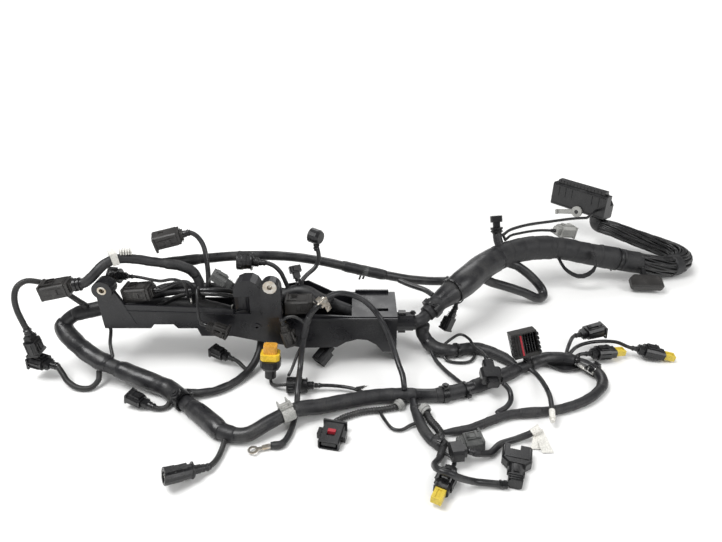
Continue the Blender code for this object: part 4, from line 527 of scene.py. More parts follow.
# Every loom and lead, with its sizes, its plug and whether it is declared as a free cord
cordRow = namedtuple("cordRow", "node style diameter endDiameter farEnd plug declared route")
cordRows = {
    "frontTrunk": ("front_trunk", "sleeve", 0.018, 0.016, "object", "", True, (
        "-0.334,0.619,0.0765;-0.36,0.612,0.0745;-0.382,0.61,0.068;-0.394,0.604,0.056;-0.381,0.591,0.045;"
        "-0.351,0.57,0.036;-0.32,0.556,0.027;-0.28,0.545,0.017;-0.244,0.531,0.0115;-0.213,0.507,0.0095;"
        "-0.182,0.48,0.0095;-0.154,0.457,0.0095;-0.129,0.453,0.01;-0.104,0.468,0.0145;-0.0775,0.484,0.018;"
        "-0.049,0.494,0.0145;-0.019,0.508,0.01;0.017,0.518,0.0088;0.054,0.521,0.0086;0.092,0.521,0.0085;"
        "0.123,0.529,0.0085;0.151,0.541,0.0085;0.179,0.556,0.0085;0.206,0.572,0.0085")),
    "link": ("front_trunk", "ribbed", 0.007, 0.007, "connector", "probe_plug_upper", True, (
        "-0.361,0.606,0.087;-0.368,0.603,0.097;-0.381,0.601,0.111;-0.393,0.597,0.122;-0.402,0.589,0.131;"
        "-0.41,0.581,0.136;-0.418,0.575,0.132;-0.423,0.571,0.12;-0.424,0.569,0.103;-0.421,0.568,0.083;"
        "-0.4185,0.567,0.074;-0.418,0.567,0.067")),
    "prop": ("front_trunk", "wire", 0.0045, 0.0045, "object", "", False, (
        "-0.318,0.564,0.036;-0.326,0.58,0.044;-0.331,0.598,0.0505;-0.331,0.5995,0.056;-0.331,0.5995,0.0604")),
    "probe": ("front_trunk", "ribbed", 0.007, 0.007, "connector", "probe_plug_lower", True, (
        "-0.336,0.556,0.018;-0.336,0.549,0.009;-0.343,0.54,0.0042;-0.359,0.54,0.0042;-0.375,0.548,0.008;"
        "-0.384,0.556,0.0145;-0.392,0.562,0.0205;-0.4,0.564,0.022")),
    "knock": ("front_trunk", "ribbed", 0.006, 0.006, "connector", "knock_plug", False, (
        "-0.233,0.513,0.0065;-0.236,0.505,0.0042;-0.245,0.502,0.004;-0.257,0.5055,0.0072")),
    "crank": ("front_trunk", "ribbed", 0.006, 0.006, "connector", "crank_plug", True, (
        "-0.152,0.446,0.007;-0.153,0.435,0.005;-0.155,0.422,0.005;-0.16,0.4105,0.0066;-0.167,0.406,0.0086")),
    "sensorBranch": ("front_trunk", "tape", 0.0095, 0.0095, "object", "", True, (
        "-0.217,0.524,0.01;-0.199,0.527,0.0072;-0.182,0.533,0.006;-0.162,0.549,0.006;-0.147,0.571,0.0085;"
        "-0.138,0.589,0.018;-0.135,0.604,0.0305;-0.135,0.608,0.0385")),
    "oil": ("front_trunk", "ribbed", 0.005, 0.005, "connector", "oil_plug", False, (
        "-0.154,0.574,0.009;-0.165,0.585,0.0115;-0.178,0.592,0.013")),
    "inline": ("front_trunk", "wire", 0.0045, 0.0045, "connector", "inline_plug", True, (
        "0.006,0.524,0.0085;-0.006,0.5315,0.0085;-0.019,0.5365,0.0082;-0.039,0.5385,0.009;"
        "-0.059,0.5378,0.0098")),
    "throttle": ("front_trunk", "corrugated", 0.007, 0.007, "connector", "throttle_plug", True, (
        "0.051,0.512,0.0065;0.042,0.504,0.005;0.029,0.501,0.0042;0.013,0.4985,0.0042;-0.001,0.4955,0.0042;"
        "-0.015,0.4895,0.0042;-0.0235,0.4845,0.0042;-0.028,0.4785,0.0042;-0.0289,0.4734,0.0045")),
    "throttleLoop": ("front_trunk", "wire", 0.004, 0.004, "object", "", True, (
        "0.024,0.493,0.003;0.029,0.482,0.0028;0.036,0.47,0.0028;0.046,0.4675,0.0028;0.0575,0.4745,0.0035")),
    "channelLoom": ("channel_loom", "tape", 0.017, 0.017, "object", "", True, (
        "-0.316,0.62,0.0745;-0.284,0.62,0.0775;-0.255,0.62,0.0805;-0.217,0.6225,0.077;-0.192,0.625,0.069;"
        "-0.168,0.6275,0.0612;-0.126,0.635,0.07;-0.1,0.64,0.084;-0.077,0.638,0.089;-0.053,0.634,0.078;"
        "-0.022,0.63,0.066;0.012,0.6265,0.056;0.034,0.6268,0.048;0.045,0.6268,0.0465;0.054,0.6268,0.0465")),
    "coil1": ("channel_loom", "tape", 0.012, 0.012, "connector", "coil_plug_1", True, (
        "-0.215,0.628,0.087;-0.216,0.636,0.1;-0.223,0.64,0.116;-0.235,0.637,0.127;-0.254,0.632,0.134;"
        "-0.273,0.627,0.14;-0.292,0.621,0.1465;-0.307,0.614,0.15;-0.318,0.606,0.149;-0.3265,0.597,0.1435;"
        "-0.335,0.59,0.135;-0.3435,0.5868,0.13;-0.354,0.585,0.1285")),
    "coil2": ("channel_loom", "sleeve", 0.0065, 0.0065, "connector", "coil_plug_2", True, (
        "-0.204,0.63,0.097;-0.202,0.633,0.12;-0.204,0.641,0.138;-0.2085,0.65,0.152;-0.2165,0.656,0.162;"
        "-0.226,0.658,0.1668;-0.2345,0.6555,0.1655")),
    "coil3": ("channel_loom", "sleeve", 0.006, 0.006, "connector", "coil_plug_3", True, (
        "-0.221,0.617,0.087;-0.219,0.615,0.107;-0.225,0.612,0.117;-0.236,0.609,0.118;-0.248,0.6075,0.113;"
        "-0.257,0.6088,0.108;-0.2665,0.609,0.107")),
    "round1": ("channel_loom", "wire", 0.004, 0.004, "connector", "round_plug_left", True, (
        "-0.224,0.606,0.098;-0.226,0.604,0.12;-0.238,0.603,0.1265;-0.254,0.604,0.1235;-0.27,0.61,0.1225;"
        "-0.288,0.615,0.1235;-0.302,0.6165,0.1237")),
    "coolant": ("channel_loom", "wire", 0.0035, 0.0035, "connector", "coolant_plug", True, (
        "-0.21,0.612,0.098;-0.208,0.6,0.116;-0.2065,0.588,0.108;-0.2055,0.5815,0.094;-0.2045,0.5785,0.082;"
        "-0.201,0.5778,0.0762;-0.1955,0.577,0.074")),
    "grey": ("channel_loom", "sleeve", 0.006, 0.006, "connector", "grey_plug", False, (
        "-0.17,0.6255,0.072;-0.165,0.6215,0.084;-0.1615,0.6175,0.098;-0.1635,0.6168,0.106;"
        "-0.169,0.617,0.11")),
    "round2": ("channel_loom", "sleeve", 0.006, 0.006, "connector", "round_plug_middle", True, (
        "-0.101,0.642,0.098;-0.104,0.642,0.107;-0.108,0.642,0.1165;-0.1155,0.641,0.126;-0.125,0.64,0.131;"
        "-0.1345,0.64,0.132")),
    "raised": ("channel_loom", "sleeve", 0.006, 0.006, "connector", "round_plug_raised", True, (
        "-0.08,0.643,0.103;-0.073,0.652,0.1075;-0.063,0.66,0.114;-0.058,0.665,0.124;-0.0585,0.667,0.135;"
        "-0.0605,0.668,0.141;-0.0605,0.668,0.1462")),
    "upright": ("channel_loom", "wire", 0.005, 0.005, "connector", "upright_plug", False, (
        "-0.085,0.643,0.1;-0.0865,0.6465,0.1045")),
    "coil4": ("channel_loom", "tape", 0.0095, 0.0095, "connector", "coil_plug_4", False, (
        "-0.043,0.629,0.083;-0.0405,0.62,0.088;-0.043,0.6115,0.0895;-0.05,0.6072,0.089;"
        "-0.0595,0.6068,0.0888")),
    "mainTrunk": ("main_trunk", "trunkTape", 0.036, 0.036, "object", "", True, (
        "0.0918,0.6419,0.0499;0.112,0.658,0.062;0.135,0.676,0.07;0.16,0.701,0.0755;0.181,0.731,0.075;"
        "0.207,0.763,0.0725;0.24,0.79,0.073;0.284,0.811,0.072;0.335,0.825,0.065;0.391,0.832,0.0505;"
        "0.418,0.834,0.0445;0.445,0.836,0.0385")),
    "outlet": ("main_trunk", "tape", 0.017, 0.017, "object", "", False, (
        "0.0885,0.639,0.048;0.084,0.6335,0.0467;0.077,0.6282,0.0465;0.069,0.6268,0.0465;0.061,0.6268,0.0465;"
        "0.0545,0.6268,0.0465")),
    "rearConduit": ("main_trunk", "sleeve", 0.0135, 0.0135, "object", "", True, (
        "0.166,0.718,0.064;0.152,0.733,0.054;0.13,0.741,0.048;0.099,0.737,0.051;0.06,0.728,0.061;"
        "-0.001,0.718,0.08;-0.06,0.71,0.099;-0.116,0.7,0.112;-0.171,0.688,0.118;-0.222,0.67,0.122;"
        "-0.25,0.656,0.1245;-0.266,0.6495,0.1262")),
    "rearBranch": ("main_trunk", "sleeve", 0.008, 0.008, "object", "", True, (
        "0.058,0.722,0.06;0.074,0.712,0.0575;0.095,0.7,0.0555;0.106,0.6855,0.0545")),
    "hanging": ("main_trunk", "wire", 0.006, 0.006, "connector", "hanging_plug", False, (
        "0.136,0.664,0.054;0.135,0.662,0.0485;0.1322,0.66,0.042")),
    "riser": ("main_trunk", "tape", 0.014, 0.014, "connector", "riser_plug", False, (
        "0.2225,0.786,0.087;0.219,0.792,0.097;0.2175,0.797,0.106;0.2168,0.8,0.114")),
    "riserWire": ("main_trunk", "wire", 0.005, 0.005, "object", "", True, (
        "0.2285,0.799,0.101;0.242,0.811,0.1045;0.28,0.843,0.1;0.33,0.878,0.0915;0.385,0.915,0.082;"
        "0.418,0.933,0.0762")),
    "greyPair": ("main_trunk", "wire", 0.0045, 0.0045, "connector", "grey_pair_plug", True, (
        "0.232,0.795,0.094;0.246,0.814,0.0935;0.266,0.833,0.089;0.288,0.85,0.085;0.312,0.864,0.081;"
        "0.34,0.874,0.076")),
    "folded": ("main_trunk", "sleeve", 0.0145, 0.0145, "object", "", True, (
        "0.238,0.78,0.06;0.2535,0.779,0.0545;0.2769,0.776,0.037;0.295,0.772,0.0175;0.2965,0.763,0.0092;"
        "0.284,0.754,0.01;0.2613,0.751,0.0215;0.2299,0.748,0.0345;0.206,0.744,0.044;0.19,0.738,0.054")),
    "flat": ("control_bundle", "wire", 0.008, 0.008, "connector", "flat_plug", False, (
        "0.48,0.8195,0.0285;0.479,0.812,0.0245;0.4785,0.806,0.0215")),
    "upperBundle": ("upper_bundle", "tape", 0.019, 0.014, "object", "", True, (
        "0.086,0.634,0.0382;0.0868,0.632,0.024;0.099,0.62,0.0115;0.12,0.612,0.009;0.141,0.617,0.008;"
        "0.161,0.62,0.0078;0.178,0.612,0.0078;0.192,0.6,0.0078;0.2015,0.59,0.0078")),
    "cross": ("upper_bundle", "sleeve", 0.0055, 0.0055, "object", "", True, (
        "0.096,0.616,0.0105;0.101,0.599,0.005;0.11,0.579,0.004;0.121,0.56,0.0045;0.1288,0.544,0.007")),
    "arch": ("upper_bundle", "wire", 0.004, 0.004, "connector", "branch_plug", True, (
        "0.11,0.6145,0.0125;0.124,0.6245,0.0185;0.14,0.636,0.02;0.15,0.624,0.021;0.1535,0.602,0.023;"
        "0.158,0.584,0.029;0.1606,0.57,0.0325;0.1609,0.5579,0.0311")),
    "lowLoop": ("upper_bundle", "wire", 0.004, 0.004, "object", "", True, (
        "0.113,0.608,0.007;0.117,0.599,0.003;0.132,0.594,0.0025;0.147,0.596,0.0025;0.155,0.604,0.0035;"
        "0.157,0.615,0.005")),
    "rightBundle": ("right_bundle", "tape", 0.013, 0.0095, "object", "", True, (
        "0.2064,0.5723,0.0085;0.2194,0.5799,0.008;0.238,0.592,0.0075;0.257,0.596,0.0075;0.278,0.594,0.0075;"
        "0.298,0.584,0.0075;0.31,0.567,0.007;0.309,0.547,0.0065;0.294,0.528,0.0065;0.268,0.51,0.0062;"
        "0.233,0.497,0.006;0.201,0.493,0.006;0.174,0.489,0.0058;0.151,0.479,0.0056;0.125,0.467,0.0054;"
        "0.1015,0.462,0.0054")),
    "branch": ("right_bundle", "sleeve", 0.0065, 0.0065, "object", "", False, (
        "0.162,0.491,0.008;0.1745,0.5,0.008;0.182,0.51,0.01;0.1825,0.521,0.0155;0.1755,0.5265,0.0225")),
    "cut": ("right_bundle", "sleeve", 0.0062, 0.0062, "bare", "", True, (
        "0.222,0.577,0.007;0.229,0.566,0.006;0.232,0.545,0.008;0.23,0.516,0.0135;0.2255,0.494,0.016;"
        "0.2215,0.476,0.013")),
    "header": ("right_bundle", "tape", 0.008, 0.008, "connector", "header_plug", False, (
        "0.221,0.58,0.0125;0.2206,0.5803,0.0152;0.2186,0.5829,0.0232")),
    "injector1": ("right_bundle", "wire", 0.005, 0.005, "connector", "injector_plug_1", True, (
        "0.279,0.6,0.015;0.286,0.613,0.0175;0.294,0.6225,0.0255;0.3045,0.625,0.0272")),
    "injector2": ("right_bundle", "wire", 0.005, 0.005, "connector", "injector_plug_2", False, (
        "0.284,0.59,0.01;0.297,0.5985,0.013;0.313,0.601,0.0125")),
    "injector3": ("right_bundle", "wire", 0.005, 0.005, "connector", "injector_plug_3", True, (
        "0.281,0.597,0.013;0.293,0.6065,0.0185;0.312,0.6165,0.019;0.334,0.62,0.0195;0.354,0.6175,0.0195;"
        "0.368,0.611,0.016;0.38,0.609,0.014")),
    "lowerBundle": ("lower_bundle", "tape", 0.012, 0.012, "object", "", True, (
        "0.064,0.5117,0.0086;0.0641,0.5035,0.008;0.066,0.489,0.007;0.0705,0.467,0.0065;0.079,0.449,0.0065;"
        "0.093,0.438,0.007")),
    "corrugated": ("lower_bundle", "corrugated", 0.009, 0.009, "object", "", True, (
        "0.066,0.4985,0.0085;0.0745,0.4935,0.011;0.0805,0.48,0.007;0.088,0.466,0.006;0.09,0.455,0.006;"
        "0.0795,0.4485,0.0066")),
    "injector4": ("lower_bundle", "sleeve", 0.0072, 0.0072, "connector", "pressure_map_plug", True, (
        "0.09,0.4375,0.0072;0.084,0.42,0.0092;0.0755,0.401,0.019;0.078,0.387,0.0275;0.088,0.3825,0.027;"
        "0.1,0.384,0.019;0.116,0.389,0.0085;0.133,0.3895,0.0055;0.149,0.3885,0.0045")),
    "greySmall": ("lower_bundle", "wire", 0.0045, 0.0045, "connector", "grey_small_plug", False, (
        "0.088,0.441,0.0074;0.099,0.44,0.0078;0.106,0.4408,0.0084")),
    "lockWire": ("lower_bundle", "wire", 0.0035, 0.0035, "connector", "injector_plug_4", False, (
        "0.0865,0.4285,0.008;0.094,0.4262,0.0066;0.099,0.4205,0.0062;0.0985,0.413,0.0075;"
        "0.095,0.4062,0.008")),
    "groundLead": ("ground_lead", "sleeve", 0.0072, 0.0072, "fitting", "ring_terminal", True, (
        "-0.1,0.442,0.0042;-0.089,0.444,0.0042;-0.083,0.455,0.0042;-0.08,0.469,0.0042;-0.0785,0.486,0.0042;"
        "-0.0775,0.502,0.0075;-0.077,0.515,0.0185;-0.077,0.53,0.025;-0.0768,0.548,0.0285;-0.0755,0.561,0.042;"
        "-0.072,0.571,0.063;-0.066,0.577,0.085;-0.055,0.581,0.1;-0.043,0.591,0.107;-0.027,0.6,0.108;"
        "-0.008,0.6,0.104;0.009,0.592,0.097;0.023,0.58,0.085;0.033,0.573,0.067;0.041,0.563,0.049;"
        "0.047,0.548,0.036;0.0515,0.533,0.029;0.0528,0.5225,0.0215;0.053,0.521,0.0173")),
    "cam": ("ground_lead", "wire", 0.004, 0.004, "connector", "cam_plug", True, (
        "-0.069,0.574,0.074;-0.0745,0.574,0.083;-0.085,0.5735,0.0895;-0.095,0.5735,0.087;"
        "-0.0985,0.5735,0.081;-0.0975,0.573,0.077")),
    "spare": ("ground_lead", "wire", 0.004, 0.004, "object", "", False, (
        "-0.075,0.5695,0.05;-0.081,0.562,0.04;-0.0875,0.549,0.0265;-0.0915,0.542,0.0213")),
    "blockLead": ("block_lead", "sleeve", 0.0075, 0.0075, "object", "", True, (
        "0.1135,0.4225,0.0172;0.124,0.4235,0.0125;0.14,0.4295,0.006;0.155,0.444,0.0045;0.174,0.451,0.005;"
        "0.19,0.455,0.009;0.2005,0.4575,0.015")),
    "pressureLead": ("pressure_lead", "ribbed", 0.004, 0.004, "connector", "pressure_plug", False, (
        "-0.0942,0.5385,0.0104;-0.101,0.5392,0.009;-0.109,0.5425,0.006;-0.115,0.5495,0.003;"
        "-0.1166,0.5541,0.005;-0.1168,0.5546,0.0098")),
    "valveLead": ("valve_lead", "ribbed", 0.005, 0.005, "connector", "valve_plug", False, (
        "-0.0355,0.6125,0.029;-0.0355,0.6125,0.0272;-0.0372,0.6108,0.0245;-0.041,0.607,0.0213")),
}
cordRows = {name: cordRow(*row) for name, row in cordRows.items()}

# Looms that thin out where they begin or end, with the share of their radius left there
loomEnds = {
    "mainTrunk": {"Neck Share": 0.52, "Neck Length": 0.080},
    "upperBundle": {"Tail Share": 0.45, "Tail Length": 0.030},
    "rightBundle": {"Tail Share": 0.50, "Tail Length": 0.024},
    "lowerBundle": {"Neck Share": 0.62, "Neck Length": 0.020, "Tail Share": 0.70, "Tail Length": 0.020},
    "riser": {"Tail Share": 0.70, "Tail Length": 0.016},
}
# Looms whose far end runs on into another loom
loomJoins = {
    "throttleLoop": "lowerBundle", "upperBundle": "rightBundle", "cross": "frontTrunk",
    "lowLoop": "upperBundle", "corrugated": "lowerBundle", "rightBundle": "corrugated",
}


def nearestSpot(paths, place):
    return min((spot for path in paths for spot in path), key=lambda spot: (spot - place).length)


def straightRun(start, end, step=0.002):
    count = max(1, math.ceil((end - start).length / step))
    return [start.lerp(end, number / count) for number in range(count)]


cordPaths = {}
for name, row in cordRows.items():
    points = smoothRoute(row.route)
    sameNode = [cordPaths[other] for other in cordPaths if cordRows[other].node == row.node]
    if sameNode:
        points = straightRun(nearestSpot(sameNode, points[0]), points[0]) + points
    cordPaths[name] = points
# The riser's wire runs on from the trunk to the control plug's foot
riserEnd = routeStops("0.418,0.933,0.0762;0.4360,0.9540,0.0765;0.4520,0.9760,0.0740;0.4640,0.9930,0.0700")
for before, after in zip(riserEnd, riserEnd[1:]):
    cordPaths["riserWire"].extend(straightRun(before, after)[1:])
for name, other in loomJoins.items():
    points = cordPaths[name]
    spot = nearestSpot([cordPaths[other]], points[-1])
    points.extend(reversed(straightRun(spot, points[-1])))

seedStep = 3.7  # keeps the lumps of two looms apart
for seed, (name, row) in enumerate(cordRows.items()):
    points = cordPaths[name]
    length = lengthOf(points)
    ends = loomEnds.get(name)
    values = loomValues(row.style, row.diameter / 2, row.endDiameter / 2, length, seed * seedStep, ends)
    piece = finishedPiece(name, loomMesh(name, points, values))
    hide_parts(row.node)
print("looms and leads made:", len(cordRows))

# The control bundle: insulated wires side by side round a core, narrowing into the large plug
controlRun = {
    "route": "0.4456,0.836,0.0384;0.472,0.838,0.0325;0.499,0.84,0.0265;0.538,0.847,0.02;0.566,0.86,0.019;"
             "0.582,0.884,0.019;0.577,0.907,0.02;0.557,0.923,0.024;0.532,0.935,0.03;0.508,0.945,0.0365;"
             "0.488,0.957,0.0415;0.474,0.968,0.043;0.4646,0.98,0.0432;0.4614,0.9846,0.05;"
             "0.4614,0.9846,0.0587",
    "wires": 32, "wire": 0.0040, "wireShrink": 0.85, "sides": 8, "row": 0.004,
    "radius": 0.0160, "endRadius": 0.0110, "core": 0.0148, "coreShrink": 0.68,
    "turns": 0.55, "wander": 0.0009, "diameter": 0.033,
}


def bundlePaths(points, look):
    # wire paths at even places round the bundle, turning slowly and wandering a little
    count = look["wires"]
    paths = [[] for number in range(count)]
    upward = Vector((0.0, 0.0, 1.0))
    total = len(points) - 1
    for index, point in enumerate(points):
        ahead = (points[min(index + 1, total)] - points[max(index - 1, 0)]).normalized()
        upward = (upward - upward.dot(ahead) * ahead).normalized()
        aside = ahead.cross(upward)
        share = index / total
        reach = look["radius"] + (look["endRadius"] - look["radius"]) * share ** 2
        for number in range(count):
            angle = 2 * math.pi * (number / count + look["turns"] * share * 0.5)
            angle += 0.10 * math.sin(5.0 * share * math.pi + number * 1.9)
            away = reach + look["wander"] * math.sin(9.0 * share * math.pi + number * 2.4)
            paths[number].append(point + away * (math.cos(angle) * upward + math.sin(angle) * aside))
    return paths


def joinedMesh(name, meshes):
    # several meshes as one, with their UV maps
    shape = bmesh.new()
    for mesh in meshes:
        shape.from_mesh(mesh)
        materials = list(mesh.materials)
    whole = bpy.data.meshes.new(name)
    shape.to_mesh(whole)
    shape.free()
    for holder in materials:
        whole.materials.append(holder)
    for mesh in meshes:
        bpy.data.meshes.remove(mesh)
    return whole


controlPoints = smoothRoute(controlRun["route"])
controlLength = lengthOf(controlPoints)
wireMeshes = []
for number, path in enumerate(bundlePaths(controlPoints, controlRun)):
    wireRadius = controlRun["wire"] / 2
    endRadius = wireRadius * controlRun["wireShrink"]
    values = loomValues("wire", wireRadius, endRadius, controlLength, number * 5.1)
    values["Sides"], values["Rows"] = controlRun["sides"], round(controlLength / controlRun["row"])
    wireMeshes.append(loomMesh("controlWire", path, values))
coreRadius = controlRun["core"]
coreValues = loomValues("wire", coreRadius, coreRadius * controlRun["coreShrink"], controlLength, 1.0)
wireMeshes.append(loomMesh("controlCore", controlPoints, coreValues))
controlPiece = finishedPiece("controlWires", joinedMesh("controlWires", wireMeshes))
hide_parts("control_bundle")
# Tape round the bundle: start and end share, radius, and how much of it is left at the end
controlTapes = [(0.0, 0.10, 0.0186, 0.97), (0.30, 0.345, 0.0186, 0.97), (0.93, 1.0, 0.0140, 0.92)]
for number, (startShare, endShare, size, shrink) in enumerate(controlTapes):
    stretch = stretchOf(controlPoints, startShare, endShare)
    values = loomValues("trunkTape", size, size * shrink, lengthOf(stretch), 40.0 + number)
    finishedPiece(f"controlTape{number + 1}", loomMesh("controlTape", stretch, values))
print("control bundle made")


# Tape and sleeve over stretches of the looms: loom, start and end share, extra radius, style
wrapRows = [
    ("mainTrunk", 0.00, 0.06, 0.0034, "trunkTape"), ("mainTrunk", 0.00, 0.42, 0.0022, "sleeve"),
    ("frontTrunk", 0.085, 0.215, 0.0026, "loose"), ("frontTrunk", 0.235, 0.365, 0.0030, "loose"),
    ("frontTrunk", 0.395, 0.475, 0.0026, "loose"), ("rightBundle", 0.06, 0.225, 0.0032, "loose"),
    ("mainTrunk", 0.42, 0.70, 0.0014, "trunkTape"), ("mainTrunk", 0.90, 0.985, 0.0013, "trunkTape"),
    ("frontTrunk", 0.00, 0.06, 0.0009, "tape"), ("frontTrunk", 0.205, 0.25, 0.0007, "tape"),
    ("frontTrunk", 0.372, 0.50, 0.0008, "tape"), ("frontTrunk", 0.60, 0.80, 0.0007, "tape"),
    ("frontTrunk", 0.835, 0.885, 0.0010, "tape"), ("frontTrunk", 0.90, 1.00, 0.0008, "tape"),
    ("rearConduit", 0.00, 0.07, 0.0009, "tape"), ("rearConduit", 0.33, 0.47, 0.0011, "tape"),
    ("rearConduit", 0.90, 0.99, 0.0006, "tape"), ("groundLead", 0.40, 0.47, 0.0006, "tape"),
    ("groundLead", 0.00, 0.035, 0.0007, "tape"), ("rightBundle", 0.00, 0.06, 0.0008, "tape"),
    ("rightBundle", 0.235, 0.40, 0.0011, "sleeve"), ("rightBundle", 0.66, 0.73, 0.0006, "tape"),
    ("lowerBundle", 0.00, 0.18, 0.0007, "tape"), ("lowerBundle", 0.82, 0.99, 0.0010, "tape"),
    ("upperBundle", 0.15, 0.40, 0.0009, "sleeve"), ("coil1", 0.20, 0.42, 0.0006, "tape"),
    ("blockLead", 0.06, 0.14, 0.0005, "tape"), ("injector4", 0.03, 0.12, 0.0005, "tape"),
    ("sensorBranch", 0.30, 0.44, 0.0006, "sleeve"), ("link", 0.03, 0.10, 0.0005, "tape"),
]


def localRadius(name, share):
    row = cordRows[name]
    return (row.diameter + (row.endDiameter - row.diameter) * share) / 2


wrapEnds = {"Neck Share": 0.90, "Neck Length": 0.006, "Tail Share": 0.90, "Tail Length": 0.006}
for number, (name, startShare, endShare, extra, style) in enumerate(wrapRows):
    stretch = stretchOf(cordPaths[name], startShare, endShare)
    startRadius, endRadius = localRadius(name, startShare) + extra, localRadius(name, endShare) + extra
    values = loomValues(style, startRadius, endRadius, lengthOf(stretch), number * 2.3, wrapEnds)
    values["Lump Height"] *= 1.0 if style == "loose" else 0.4
    if startShare == 0.0:
        values.update({key: share for key, share in loomEnds.get(name, {}).items() if key.startswith("Neck")})
    mesh = loomMesh("wrap", stretch, values)
    finishedPiece(f"wrap{number + 1}_{name}", mesh)
print("wraps made:", len(wrapRows))


# Small hard pieces seen on the looms, each built along or beside a loom
def placeOn(name, share):
    points = cordPaths[name]
    total, run = lengthOf(points), 0.0
    for before, after in zip(points, points[1:]):
        step = (after - before).length
        if run + step >= share * total:
            return before.lerp(after, (share * total - run) / step), (after - before).normalized()
        run += step
    return points[-1], (points[-1] - points[-2]).normalized()


def frameAt(place, ahead, roll=0.0):
    # X along the loom, Z up as far as it can, rolled about X by degrees
    upright = Vector((0.0, 0.0, 1.0)) if abs(ahead.z) < 0.93 else Vector((0.0, 1.0, 0.0))
    side = upright.cross(ahead).normalized()
    upward = ahead.cross(side).normalized()
    turn = Matrix((ahead, side, upward)).transposed().to_4x4()
    return Matrix.Translation(place) @ turn @ Matrix.Rotation(math.radians(roll), 4, "X")


def boxShape(shape, low, high, bevel=0.0004):
    made = bmesh.ops.create_cube(shape, size=1.0)["verts"]
    for corner in made:
        corner.co = [low[axis] + (corner.co[axis] + 0.5) * (high[axis] - low[axis]) for axis in range(3)]
    edges = list(dict.fromkeys(edge for corner in made for edge in corner.link_edges))
    bmesh.ops.bevel(shape, geom=edges, offset=bevel, segments=2, affect="EDGES", profile=0.6)


def skinLoops(shape, loops):
    # joins loops of corners into a closed skin with an end face at either end
    for before, after in zip(loops, loops[1:]):
        for corner in range(len(before)):
            other = (corner + 1) % len(before)
            shape.faces.new((before[corner], before[other], after[other], after[corner]))
    shape.faces.new(loops[0])
    shape.faces.new(list(reversed(loops[-1])))


def ringShape(shape, inner, outer, start, end, sides=28):
    # a band round X
    rows = []
    for number in range(sides):
        angle = math.pi / 2 + 2 * math.pi * number / sides
        cosine, sine = math.cos(angle), math.sin(angle)
        rows.append([shape.verts.new((x, size * cosine, size * sine)) for x, size in
                     ((start, inner), (start, outer), (end, outer), (end, inner))])
    for before, after in zip(rows, rows[1:] + rows[:1]):
        for corner in range(4):
            other = (corner + 1) % 4
            shape.faces.new((before[corner], after[corner], after[other], before[other]))


def rodShape(shape, radius, start, end, sides=16):
    start, end = Vector(start), Vector(end)
    turn = (end - start).to_track_quat("Z", "Y").to_matrix().to_4x4()
    middle = Matrix.Translation((start + end) / 2)
    bmesh.ops.create_cone(shape, cap_ends=True, segments=sides, radius1=radius, radius2=radius,
                          depth=(end - start).length, matrix=middle @ turn)


def addHardPiece(name, shape, place, finish):
    bmesh.ops.recalc_face_normals(shape, faces=shape.faces)
    shape.transform(place)
    mesh = bpy.data.meshes.new(name)
    shape.to_mesh(mesh)
    shape.free()
    mesh.materials.append(finishes[finish])
    mesh.set_sharp_from_angle(angle=math.radians(35))
    return finishedPiece(name, mesh)


def addFitting(name, look):
    # rings, boxes and rods, drawn along X and set at a share of a loom with a roll in degrees
    shape = bmesh.new()
    for ring in look.get("rings", ()):
        ringShape(shape, *ring)
    for box in look.get("boxes", ()):
        boxShape(shape, *box)
    for rod in look.get("rods", ()):
        rodShape(shape, *rod)
    place = frameAt(*placeOn(look["loom"], look["share"]), look["roll"])
    addHardPiece(name, shape, place, look["finish"])


# Cable ties: loom, share, radius to the loom's surface, roll of the head
tieRows = [
    ("mainTrunk", 0.125, 0.0190, 40), ("mainTrunk", 0.985, 0.0188, 200), ("frontTrunk", 0.885, 0.0094, 100),
    ("rightBundle", 0.24, 0.0072, 30), ("rearConduit", 0.115, 0.0072, 160), ("groundLead", 0.52, 0.0042, 60),
    ("lowerBundle", 0.93, 0.0075, 20), ("grey", 0.5, 0.0034, 90), ("upperBundle", 0.42, 0.0094, 60),
]
tieLook = {
    "sunk": 0.0002, "band": 0.0010, "half": 0.0016, "head": 0.0036, "headHalf": 0.0026, "headSide": 0.0024,
    "tailHalf": 0.0013, "tailStart": 0.0022, "tailEnd": 0.0095, "tailLow": 0.0008, "tailHigh": 0.0019,
}
for number, (name, share, radius, roll) in enumerate(tieRows):
    shape = bmesh.new()
    inner, half = radius - tieLook["sunk"], tieLook["half"]
    ringShape(shape, inner, radius + tieLook["band"], -half, half)
    half, side = tieLook["headHalf"], tieLook["headSide"]
    boxShape(shape, (-half, -side, inner), (half, side, radius + tieLook["head"]))
    half = tieLook["tailHalf"]
    boxShape(shape, (-half, tieLook["tailStart"], radius + tieLook["tailLow"]),
             (half, tieLook["tailEnd"], radius + tieLook["tailHigh"]), 0.0003)
    addHardPiece(f"tie{number + 1}", shape, frameAt(*placeOn(name, share), roll), "black_plastic")

